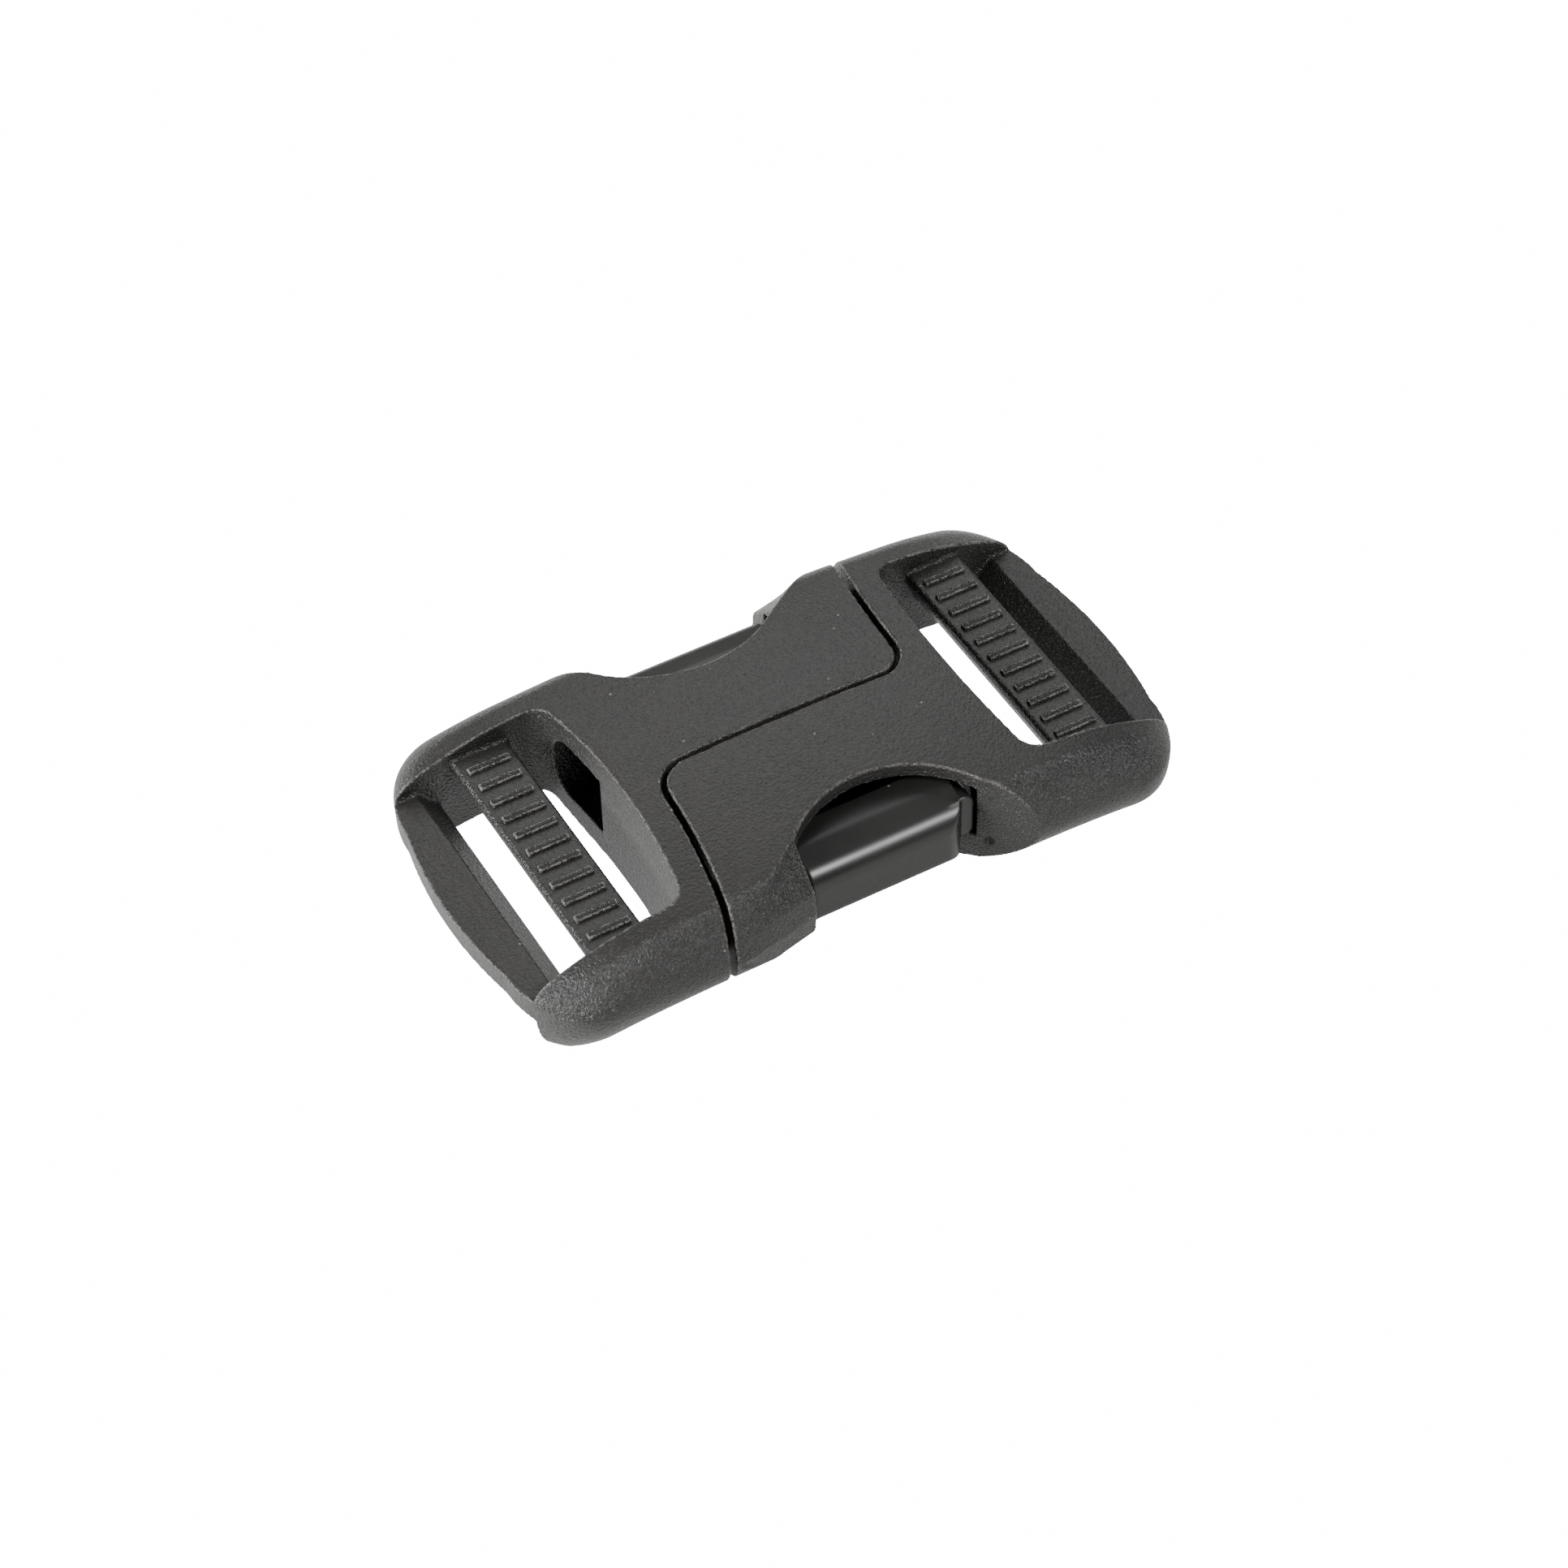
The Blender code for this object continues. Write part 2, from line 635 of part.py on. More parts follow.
def main():
    for thing in list(bpy.data.objects):
        bpy.data.objects.remove(thing)
    parts = bpy.data.collections.new("side_release_buckle")
    cutters = bpy.data.collections.new("cutters")
    for collection in (parts, cutters):
        bpy.context.scene.collection.children.link(collection)
    body = make_body("half_a_body", parts, cutters)
    body.data.materials.append(acetal("moulded_body", BODY_TINT, BODY_ROUGHNESS))
    arm = make_arm("half_a_release_arm", parts, cutters)
    arm.data.materials.append(acetal("moulded_arm", ARM_TINT, ARM_ROUGHNESS))
    pivot_x, pivot_y = flexure()
    for half, turn in (("half_a", 0.0), ("half_b", math.pi)):
        frame = Matrix.Rotation(turn, 4, "Z")
        if turn:
            new_object(half + "_body", body.data, parts).matrix_world = frame
        axis = bpy.data.objects.new(half + "_flexure", None)
        parts.objects.link(axis)
        axis.matrix_world = frame @ Matrix.Translation((pivot_x * MM, pivot_y * MM, 0))
        lever = new_object(half + "_release_arm", arm.data, parts) if turn else arm
        lever.parent = axis


main()
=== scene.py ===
import math

import bmesh
import bpy
import numpy
from mathutils import Matrix, Vector


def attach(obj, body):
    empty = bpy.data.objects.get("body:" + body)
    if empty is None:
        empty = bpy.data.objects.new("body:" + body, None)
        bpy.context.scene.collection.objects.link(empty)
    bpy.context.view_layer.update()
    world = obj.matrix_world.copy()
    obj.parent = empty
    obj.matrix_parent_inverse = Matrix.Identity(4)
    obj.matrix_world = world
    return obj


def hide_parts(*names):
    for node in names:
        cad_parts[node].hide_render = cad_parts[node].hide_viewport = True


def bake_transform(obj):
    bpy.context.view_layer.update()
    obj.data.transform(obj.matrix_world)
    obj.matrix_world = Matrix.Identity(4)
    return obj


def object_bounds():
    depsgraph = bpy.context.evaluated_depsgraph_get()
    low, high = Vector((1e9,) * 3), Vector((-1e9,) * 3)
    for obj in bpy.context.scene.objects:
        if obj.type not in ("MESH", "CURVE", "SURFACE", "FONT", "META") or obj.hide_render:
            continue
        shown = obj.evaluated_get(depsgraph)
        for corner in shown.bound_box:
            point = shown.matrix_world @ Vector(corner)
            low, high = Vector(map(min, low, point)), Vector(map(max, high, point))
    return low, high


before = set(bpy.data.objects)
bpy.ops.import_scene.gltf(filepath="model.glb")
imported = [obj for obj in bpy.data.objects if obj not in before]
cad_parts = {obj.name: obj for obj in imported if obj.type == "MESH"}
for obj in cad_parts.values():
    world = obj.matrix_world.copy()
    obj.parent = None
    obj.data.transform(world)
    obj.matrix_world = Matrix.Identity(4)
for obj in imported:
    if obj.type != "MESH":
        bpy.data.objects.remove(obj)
cadLow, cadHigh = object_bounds()
print("frame loaded:", ", ".join(sorted(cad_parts)))

# sizes below are in mm unless noted, X along the strap, Y across it, Z up, half A at -X
mm = 0.001
halfLength = cadHigh.x / mm
halfWidth = cadHigh.y / mm
topRise = 6.7  # height of the top above the parting plane
bellyDepth = -cadLow.z / mm
outside = 5.0  # how far the cutters reach past the buckle


# helpers for node trees
def addNode(tree, kind, **settings):
    node = tree.nodes.new(kind)
    for key, value in settings.items():
        setattr(node, key, value)
    return node


def feed(tree, socket, value):
    if isinstance(value, bpy.types.NodeSocket):
        tree.links.new(value, socket)
    else:
        socket.default_value = value


def calc(tree, operation, *values):
    node = addNode(tree, "ShaderNodeMath", operation=operation)
    for socket, value in zip(node.inputs, values):
        feed(tree, socket, value)
    return node.outputs[0]


def newTree(name, inputs):
    tree = bpy.data.node_groups.new(name, "GeometryNodeTree")
    tree.interface.new_socket(name="Geometry", in_out="OUTPUT", socket_type="NodeSocketGeometry")
    for label, kind in inputs:
        tree.interface.new_socket(name=label, in_out="INPUT", socket_type="NodeSocket" + kind)
    source = addNode(tree, "NodeGroupInput")
    return tree, {socket.name: socket for socket in source.outputs if socket.name}


def closeTree(tree, geometry):
    # every tree ends in Realize Instances and Set Material
    real = addNode(tree, "GeometryNodeRealizeInstances")
    tree.links.new(geometry, real.inputs["Geometry"])
    paint = addNode(tree, "GeometryNodeSetMaterial")
    tree.links.new(real.outputs["Geometry"], paint.inputs["Geometry"])
    group = [item for item in tree.nodes if item.bl_idname == "NodeGroupInput"][0]
    tree.links.new(group.outputs["Material"], paint.inputs["Material"])
    tree.links.new(paint.outputs["Geometry"], addNode(tree, "NodeGroupOutput").inputs["Geometry"])


def grow(name, tree, values):
    # evaluates a tree with these inputs and keeps its result as a plain mesh
    holder = bpy.data.objects.new(name, bpy.data.meshes.new(name))
    bpy.context.scene.collection.objects.link(holder)
    modifier = holder.modifiers.new("nodes", "NODES")
    modifier.node_group = tree
    for item in tree.interface.items_tree:
        if item.in_out == "INPUT" and item.name in values:
            modifier[item.identifier] = values[item.name]
    return settle(holder)


def settle(thing):
    # replaces an object's mesh by its evaluated one and clears the modifiers
    bpy.context.view_layer.update()
    graph = bpy.context.evaluated_depsgraph_get()
    mesh = bpy.data.meshes.new_from_object(thing.evaluated_get(graph))
    thing.modifiers.clear()
    thing.data = mesh
    return thing


# outlines and solids
def arc(centre, radius, start, end, steps):
    points = []
    for i in range(steps + 1):
        angle = math.radians(start + (end - start) * i / steps)
        points.append((centre[0] + radius * math.cos(angle), centre[1] + radius * math.sin(angle)))
    return points


def rounded(corners, steps=10):
    # closed outline from (x, y, radius) corners
    outline = []
    for i, (x, y, radius) in enumerate(corners):
        here = Vector((x, y))
        before = (Vector(corners[i - 1][:2]) - here).normalized()
        after = (Vector(corners[(i + 1) % len(corners)][:2]) - here).normalized()
        if radius <= 0:
            outline.append((x, y))
            continue
        half = before.angle(after) / 2
        centre = here + (before + after).normalized() * radius / math.sin(half)
        first = here + before * radius / math.tan(half) - centre
        last = here + after * radius / math.tan(half) - centre
        turn = first.angle_signed(last)
        for k in range(steps + 1):
            point = centre + first @ Matrix.Rotation(turn * k / steps, 2)
            outline.append((point.x, point.y))
    return outline


def prism(name, outline, low, high, axes="XYZ"):
    # filled outline, extruded from low to high along the third of the axes
    curve = bpy.data.curves.new(name, "CURVE")
    curve.dimensions = "2D"
    curve.fill_mode = "BOTH"
    curve.extrude = (high - low) / 2 * mm
    spline = curve.splines.new("POLY")
    spline.points.add(len(outline) - 1)
    for point, (a, b) in zip(spline.points, outline):
        point.co = (a * mm, b * mm, 0, 1)
    spline.use_cyclic_u = True
    guide = bpy.data.objects.new(name, curve)
    bpy.context.scene.collection.objects.link(guide)
    bpy.context.view_layer.update()
    mesh = bpy.data.meshes.new_from_object(guide.evaluated_get(bpy.context.evaluated_depsgraph_get()))
    bpy.data.objects.remove(guide)
    mesh.transform(Matrix.Translation((0, 0, (high + low) / 2 * mm)))
    columns = ["XYZ".index(axis) for axis in axes]
    turn = Matrix([[1.0 if columns[k] == row else 0.0 for k in range(3)] for row in range(3)])
    mesh.transform(turn.to_4x4())
    return solidFrom(name, mesh)


def solidFrom(name, mesh):
    solid = bmesh.new()
    solid.from_mesh(mesh)
    bmesh.ops.remove_doubles(solid, verts=solid.verts, dist=0.002 * mm)
    bmesh.ops.recalc_face_normals(solid, faces=solid.faces)
    solid.to_mesh(mesh)
    solid.free()
    thing = bpy.data.objects.new(name, mesh)
    bpy.context.scene.collection.objects.link(thing)
    return thing


def loft(name, sections):
    solid = bmesh.new()
    rings = []
    for x, line in sections:
        rings.append([solid.verts.new((x * mm, y * mm, z * mm)) for y, z in line])
    for first, second in zip(rings, rings[1:]):
        for k in range(len(first)):
            following = (k + 1) % len(first)
            solid.faces.new((first[k], first[following], second[following], second[k]))
    solid.faces.new(rings[0])
    solid.faces.new(rings[-1])
    mesh = bpy.data.meshes.new(name)
    solid.to_mesh(mesh)
    solid.free()
    return solidFrom(name, mesh)


def combine(target, tool, operation):
    modifier = target.modifiers.new("combine", "BOOLEAN")
    modifier.operation = operation
    modifier.object = tool
    modifier.solver = "EXACT"
    settle(target)
    bpy.data.objects.remove(tool)


finish = {
    "voxel": 0.14,  # mm, of the shells
    "armVoxel": 0.13,
    "softening": 3,  # passes that round the moulded edges
    "armSoftening": 7,
    "shellFaces": 185000,
    "armFaces": 60000,
    "edgeReach": 3,  # passes that spread the edge measure behind the edge wear with its painted highlight and the painted crease shade
    "edgeKeep": 0.4,  # share of it that a point keeps in each pass
}


def soften(piece, voxel, passes, faces):
    # moulded edges: an even skin, smoothed, then thinned where it is flat
    skin = piece.modifiers.new("skin", "REMESH")
    skin.mode = "VOXEL"
    skin.voxel_size = voxel * mm
    smooth = piece.modifiers.new("smooth", "SMOOTH")
    smooth.factor = 0.5
    smooth.iterations = passes
    settle(piece)
    count = sum(len(polygon.vertices) - 2 for polygon in piece.data.polygons)
    if count > faces:
        thin = piece.modifiers.new("thin", "DECIMATE")
        thin.ratio = faces / count
        settle(piece)
    piece.data.shade_smooth()
    markEdges(piece)
    return piece


def markEdges(piece):
    # stores how sharply the surface turns at each point: positive on edges, negative in creases
    mesh = piece.data
    count = len(mesh.vertices)
    place = numpy.empty(count * 3, numpy.float32)
    facing = numpy.empty(count * 3, numpy.float32)
    mesh.vertices.foreach_get("co", place)
    mesh.vertices.foreach_get("normal", facing)
    place, facing = place.reshape(-1, 3), facing.reshape(-1, 3)
    pairs = numpy.empty(len(mesh.edges) * 2, numpy.int32)
    mesh.edges.foreach_get("vertices", pairs)
    first, second = pairs.reshape(-1, 2).T
    along = place[second] - place[first]
    length = numpy.maximum(numpy.linalg.norm(along, axis=1), 1e-7)
    bend = ((facing[second] - facing[first]) * along).sum(axis=1) / length ** 2
    share = numpy.bincount(first, length, count) + numpy.bincount(second, length, count)
    turn = numpy.bincount(first, bend * length, count) + numpy.bincount(second, bend * length, count)
    turn /= share
    for _ in range(finish["edgeReach"]):
        spread = numpy.bincount(first, turn[second] * length, count)
        spread += numpy.bincount(second, turn[first] * length, count)
        turn = turn * finish["edgeKeep"] + spread / share * (1 - finish["edgeKeep"])
    store = mesh.attributes.new("edgeTurn", "FLOAT", "POINT")
    store.data.foreach_set("value", (turn * mm).astype(numpy.float32))


# the buckle's outer form, one rule for top, belly, sides and ends
buckleForm = {
    "topCrown": 0.8,  # fall of the top at the webbing's edge
    "crownReach": 12.5,
    "topEndDrop": 2.6,
    "topRounding": 3.4,
    "bellyCrown": 1.3,
    "bellyArch": 2.5,  # how much of that crown is gone at the ends
    "bellyFlat": 0.3,
    "bellyRounding": 4.2,
    "cornerLength": 6.2,
    "cornerWidth": 8.6,
    "endBulge": 1.0,
    "fallStart": 13.0,  # from the end, where the rails start to fall
    "fallRate": 0.017,
    "pointsAlong": 181,
    "pointsAcross": 91,
    "pointsUp": 31,
}


def pebbleTree():
    numbers = ["Half Length", "Half Width", "Top Rise", "Belly Depth", "Top Crown", "Crown Reach",
               "Top End Drop", "Top Rounding", "Belly Crown", "Belly Arch", "Belly Flat",
               "Belly Rounding", "Corner Length", "Corner Width", "End Bulge", "Fall Start",
               "Fall Rate", "Inset"]
    counts = ["Points Along", "Points Across", "Points Up"]
    inputs = [(label, "Float") for label in numbers] + [(label, "Int") for label in counts]
    tree, given = newTree("pebbleForm", inputs + [("Material", "Material")])

    def do(operation, *values):
        return calc(tree, operation, *values)

    cube = addNode(tree, "GeometryNodeMeshCube")
    cube.inputs["Size"].default_value = (2, 2, 2)
    for axis, label in zip("XYZ", counts):
        tree.links.new(given[label], cube.inputs["Vertices " + axis])
    place = addNode(tree, "ShaderNodeSeparateXYZ")
    tree.links.new(addNode(tree, "GeometryNodeInputPosition").outputs[0], place.inputs[0])
    a, b, c = place.outputs

    cornerShare = 0.3  # share of the lengthwise points that the round corners take
    flatShare = 0.7  # share of the crosswise points that the flat top takes
    innerTightening = 0.6  # how much sharper an inset form's rounding gets
    mostRounding = 0.9  # of the half width
    ring = do("MAXIMUM", do("MAXIMUM", do("ABSOLUTE", b), do("ABSOLUTE", c)), 0.0001)
    across = do("DIVIDE", do("ABSOLUTE", b), ring)
    up = do("DIVIDE", do("ABSOLUTE", c), ring)

    middle = do("SUBTRACT", do("SUBTRACT", given["Half Length"], given["End Bulge"]), given["Corner Length"])
    length = do("ABSOLUTE", a)
    straight = do("MULTIPLY", middle, do("MINIMUM", do("DIVIDE", length, 1 - cornerShare), 1.0))
    bend = do("DIVIDE", do("MAXIMUM", do("SUBTRACT", length, 1 - cornerShare), 0.0), cornerShare)
    along = do("SINE", do("MULTIPLY", bend, math.pi / 2))
    x = do("ADD", straight, do("MULTIPLY", given["Corner Length"], along))

    turn = do("SUBTRACT", 1.0, do("SQRT", do("SUBTRACT", 1.0, do("MULTIPLY", along, along))))
    width = do("SUBTRACT", given["Half Width"], do("MULTIPLY", given["Corner Width"], turn))
    inner = do("SUBTRACT", width, given["Inset"])
    below = do("LESS_THAN", c, 0.0)
    above = do("SUBTRACT", 1.0, below)
    corner = do("MULTIPLY", given["Top Rounding"], above)
    corner = do("ADD", corner, do("MULTIPLY", given["Belly Rounding"], below))
    softer = do("SUBTRACT", corner, do("MULTIPLY", given["Inset"], innerTightening))
    rounding = do("MINIMUM", softer, do("MULTIPLY", inner, mostRounding))
    flat = do("SUBTRACT", inner, rounding)
    edge = do("DIVIDE", do("MAXIMUM", do("SUBTRACT", across, flatShare), 0.0), 1 - flatShare)
    eighth = math.pi / 4
    angle = do("SUBTRACT", math.pi / 2, do("MULTIPLY", edge, eighth))
    angle = do("SUBTRACT", angle, do("MULTIPLY", do("SUBTRACT", 1.0, up), eighth))
    y = do("MULTIPLY", flat, do("MINIMUM", do("DIVIDE", across, flatShare), 1.0))
    y = do("ADD", y, do("MULTIPLY", rounding, do("COSINE", angle)))

    share = do("POWER", do("DIVIDE", y, given["Crown Reach"]), 2.0)
    lengthwise = do("DIVIDE", x, given["Half Length"])
    drop = do("MULTIPLY", given["Top Crown"], share)
    drop = do("ADD", drop, do("MULTIPLY", given["Top End Drop"], do("POWER", lengthwise, 2.0)))
    past = do("SUBTRACT", x, do("SUBTRACT", given["Half Length"], given["Fall Start"]))
    drop = do("ADD", drop, do("MULTIPLY", given["Fall Rate"], do("POWER", do("MAXIMUM", past, 0.0), 2.0)))
    top = do("SUBTRACT", given["Top Rise"], do("ADD", drop, given["Inset"]))
    arch = do("MULTIPLY", given["Belly Arch"], do("POWER", lengthwise, 4.0))
    arch = do("SUBTRACT", do("ADD", given["Belly Flat"], arch), do("MULTIPLY", given["Belly Crown"], share))
    belly = do("SUBTRACT", do("ADD", given["Belly Depth"], do("MINIMUM", arch, 0.0)), given["Inset"])
    height = do("ADD", do("MULTIPLY", top, above), do("MULTIPLY", belly, below))
    z = do("MULTIPLY", do("MULTIPLY", height, do("SINE", angle)), do("MULTIPLY", do("SIGN", c), ring))

    y = do("MULTIPLY", do("MULTIPLY", y, do("SIGN", b)), ring)
    bulge = do("MULTIPLY", given["End Bulge"], do("MULTIPLY", along, along))
    aside = do("POWER", do("DIVIDE", do("ABSOLUTE", y), width), 2.0)
    bulge = do("MULTIPLY", bulge, do("SUBTRACT", 1.0, aside))
    x = do("MULTIPLY", do("SIGN", a), do("ADD", x, bulge))

    joined = addNode(tree, "ShaderNodeCombineXYZ")
    for socket, value in zip(joined.inputs, (x, y, z)):
        tree.links.new(value, socket)
    move = addNode(tree, "GeometryNodeSetPosition")
    tree.links.new(cube.outputs["Mesh"], move.inputs["Geometry"])
    tree.links.new(joined.outputs[0], move.inputs["Position"])
    closeTree(tree, move.outputs["Geometry"])
    return tree


def pebble(name, tree, inset):
    values = {
        "Half Length": halfLength * mm,
        "Half Width": halfWidth * mm,
        "Top Rise": topRise * mm,
        "Belly Depth": bellyDepth * mm,
        "Top Crown": buckleForm["topCrown"] * mm,
        "Crown Reach": buckleForm["crownReach"] * mm,
        "Top End Drop": buckleForm["topEndDrop"] * mm,
        "Top Rounding": buckleForm["topRounding"] * mm,
        "Belly Crown": buckleForm["bellyCrown"] * mm,
        "Belly Arch": buckleForm["bellyArch"] * mm,
        "Belly Flat": buckleForm["bellyFlat"] * mm,
        "Belly Rounding": buckleForm["bellyRounding"] * mm,
        "Corner Length": buckleForm["cornerLength"] * mm,
        "Corner Width": buckleForm["cornerWidth"] * mm,
        "End Bulge": buckleForm["endBulge"] * mm,
        "Fall Start": buckleForm["fallStart"] * mm,
        "Fall Rate": buckleForm["fallRate"] / mm,
        "Inset": inset * mm,
        "Points Along": buckleForm["pointsAlong"],
        "Points Across": buckleForm["pointsAcross"],
        "Points Up": buckleForm["pointsUp"],
    }
    form = grow(name, tree, values)
    solid = bmesh.new()
    solid.from_mesh(form.data)
    bmesh.ops.recalc_face_normals(solid, faces=solid.faces)
    solid.to_mesh(form.data)
    solid.free()
    return form


# half A's shell: the form, cut by the seam, the slots, the pocket and the window
sleeve = {
    "reach": 12.85,
    "seamRadius": 77.0,
    "seamCorner": 3.0,
    "seamGap": 0.6,
    "seamPoints": 30,
    "seamCornerPoints": 14,
    "centreGap": 0.45,
    "wall": 1.5,
    "centreWall": 1.5,
    "backWall": 0.85,
    "windowRadius": 11.1,
    "windowDepth": 8.8,
    "windowPast": 0.25,
    "windowFlare": 33.0,  # where the end wall leaves the round, degrees
    "windowEnd": 2.25,
    "windowPoints": 60,
    "pinMark": 0.9,  # diameter of the ejector pin's mark on the window's end wall
    "pinMarkDepth": 0.22,
    "pinMarkAlong": 0.9,  # from the end of the round
    "pinMarkDrop": 2.2,  # below the parting plane
    "pinMarkPoints": 24,
}
cuff = {
    "length": 7.8,
    "wall": 4.1,
    "narrowing": 1.7,
    "crease": 5.7,
    "flat": 2.4,
    "kneeSet": 0.3,
    "overlap": 0.05,
    "sections": 20,
    "spareSections": 3,  # past the cuff at either end
}
strapFrame = {
    "slotHalf": 13.1,
    "rootWall": 3.0,
    "slotCorner": 2.0,
    "slotPoints": 36,
    "slotCornerPoints": 12,
    "innerSlot": 4.4,
    "gripWidth": 5.5,
    "gripShoulder": 1.0,
    "gripFoot": 2.7,
    "gripTop": 2.7,
    "gripDepth": 4.2,
    "gripEdge": 0.4,  # roundings of the grip bar, top to bottom
    "gripBend": 0.8,
    "gripFootEdge": 1.0,
    "barsShort": 2.0,  # the bars end this far inside the rails
    "outerSlot": 3.5,
    "outerTop": 0.5,
    "outerSlope": 0.6,
    "outerChamfer": 2.2,
    "outerDepth": 2.5,
    "holeNear": 4.0,
    "holeMargin": 1.6,
    "holeSkin": 3.5,
    "holeRounding": 0.8,  # share of the hole's half height
    "holePast": 2.0,  # how far the core reaches into the slot
    "holeInto": 1.0,  # and into the pocket
}
slotWall = sleeve["reach"] + strapFrame["rootWall"]
gripInner = slotWall + strapFrame["innerSlot"]
gripMiddle = -(gripInner + strapFrame["gripWidth"] / 2)
outerInner = gripInner + strapFrame["gripWidth"] + strapFrame["outerSlot"]
cuffInner = halfWidth - cuff["wall"]
pocketEnd = sleeve["reach"] - sleeve["backWall"]


def seamX(y):
    return sleeve["reach"] + sleeve["seamRadius"] - math.sqrt(sleeve["seamRadius"] ** 2 - y ** 2)


def cuffEdge():
    return seamX(cuffInner) - sleeve["seamGap"] / 2 - cuff["length"]


def topHeight(x, y):
    drop = buckleForm["topCrown"] * (y / buckleForm["crownReach"]) ** 2
    return topRise - drop - buckleForm["topEndDrop"] * (x / halfLength) ** 2


def bellyHeight(x, y):
    arch = buckleForm["bellyArch"] * (x / halfLength) ** 4
    arch -= buckleForm["bellyCrown"] * (y / buckleForm["crownReach"]) ** 2
    return bellyDepth + min(buckleForm["bellyFlat"] + arch, 0)


def halfPlan():
    far = halfWidth + outside
    end = halfLength + outside
    gap = sleeve["seamGap"] / 2
    side = sleeve["centreGap"] / 2
    inner = sleeve["seamCorner"] + gap
    outer = sleeve["seamCorner"] - gap
    steps = sleeve["seamPoints"]
    turns = sleeve["seamCornerPoints"]
    outline = [(-end, -far)]
    for k in range(steps + 1):
        y = -far + (far - inner + side) * k / steps
        outline.append((-seamX(y) - gap, y))
    outline += arc((-seamX(0) - gap + inner, side - inner), inner, 180, 90, turns)[1:]
    corner = (seamX(0) - gap - outer, side + outer)
    outline += arc(corner, outer, -90, 0, turns)
    for k in range(1, steps + 1):
        y = corner[1] + (far - corner[1]) * k / steps
        outline.append((seamX(y) - gap, y))
    outline.append((-end, far))
    return outline


def slotPlan():
    end = halfLength + outside
    radius = strapFrame["slotCorner"]
    turn = strapFrame["slotHalf"] - radius
    centre = -(seamX(turn) + strapFrame["rootWall"] + radius)
    steps = strapFrame["slotPoints"]
    turns = strapFrame["slotCornerPoints"]
    outline = [(-end, -strapFrame["slotHalf"])]
    outline += arc((centre, -turn), radius, -90, 0, turns)
    for k in range(1, steps):
        y = -turn + 2 * turn * k / steps
        outline.append((-(seamX(y) + strapFrame["rootWall"]), y))
    outline += arc((centre, turn), radius, 0, 90, turns)
    outline.append((-end, strapFrame["slotHalf"]))
    return outline


def gripProfile():
    low = strapFrame["gripTop"] - strapFrame["gripDepth"]
    top = strapFrame["gripTop"]
    shoulder = top - strapFrame["gripShoulder"]
    wide = strapFrame["gripWidth"] / 2
    foot = strapFrame["gripFoot"] / 2
    corners = [
        (gripMiddle + wide, top, strapFrame["gripEdge"]),
        (gripMiddle + wide, shoulder, strapFrame["gripBend"]),
        (gripMiddle + foot, low, strapFrame["gripFootEdge"]),
        (gripMiddle - foot, low, strapFrame["gripFootEdge"]),
        (gripMiddle - wide, shoulder, strapFrame["gripBend"]),
        (gripMiddle - wide, top, strapFrame["gripEdge"]),
    ]
    return rounded(corners, 6)


def outerBarProfile():
    low = strapFrame["outerTop"] - strapFrame["outerDepth"]
    end = halfLength + outside
    return [
        (-outerInner, strapFrame["outerTop"]),
        (-outerInner + strapFrame["outerChamfer"], low),
        (-end, low),
        (-end, strapFrame["outerTop"] - strapFrame["outerSlope"]),
    ]


def windowRound():
    # centre of the window's round and the last point on it, where the flat end wall starts
    x = sleeve["windowRadius"] - sleeve["reach"] - sleeve["windowPast"]
    y = halfWidth - sleeve["windowDepth"] + sleeve["windowRadius"]
    turn = math.radians(sleeve["windowFlare"] - 180)
    last = Vector((x + sleeve["windowRadius"] * math.cos(turn), y + sleeve["windowRadius"] * math.sin(turn)))
    return (x, y), last, Vector((-sleeve["reach"] - sleeve["windowEnd"], halfWidth))


def windowPlan():
    centre, last, rim = windowRound()
    far = halfWidth + outside
    start = -math.degrees(math.acos((cuffEdge() - centre[0]) / sleeve["windowRadius"]))
    outline = arc(centre, sleeve["windowRadius"], start, sleeve["windowFlare"] - 180, sleeve["windowPoints"])
    past = last + (rim - last) * (far - last.y) / (rim.y - last.y)
    return outline + [(past.x, past.y), (cuffEdge(), far)]


def hollowPlan():
    inner = sleeve["centreGap"] / 2 + sleeve["centreWall"]
    return [
        (-pocketEnd, inner),
        (sleeve["reach"] + outside, inner),
        (sleeve["reach"] + outside, cuffInner),
        (-pocketEnd, cuffInner),
    ]


def pocketSill():
    # the block below the pocket that takes the other arm's nose
    end = headTip + releaseArm["clearance"]
    side = halfWidth + outside
    high = -(releaseArm["noseLow"] + releaseArm["clearance"])
    outline = [(-pocketEnd - outside, 0), (-end, 0), (-end, side), (-pocketEnd - outside, side)]
    return prism("sill", outline, -bellyDepth - outside, high)


def pinMark():
    # shallow round mark that an ejector pin left on the window's end wall
    _, last, rim = windowRound()
    along = (rim - last).normalized()
    middle = last + along * sleeve["pinMarkAlong"]
    points = sleeve["pinMarkPoints"]
    depth = sleeve["pinMarkDepth"]
    ring = arc((0, 0), sleeve["pinMark"] / 2, 0, 360 - 360 / points, points - 1)
    disc = prism("pin", ring, -depth, depth)
    up = Vector((0, 0, 1))
    turn = Matrix((along.to_3d(), up, along.to_3d().cross(up))).transposed()
    disc.data.transform(turn.to_4x4())
    disc.data.transform(Matrix.Translation((middle.x * mm, middle.y * mm, -sleeve["pinMarkDrop"] * mm)))
    return disc


def sideShare(y):
    inside = halfWidth - abs(y)
    if inside >= buckleForm["topRounding"]:
        return 1.0
    return math.sqrt(max(1 - (1 - inside / buckleForm["topRounding"]) ** 2, 0.0))


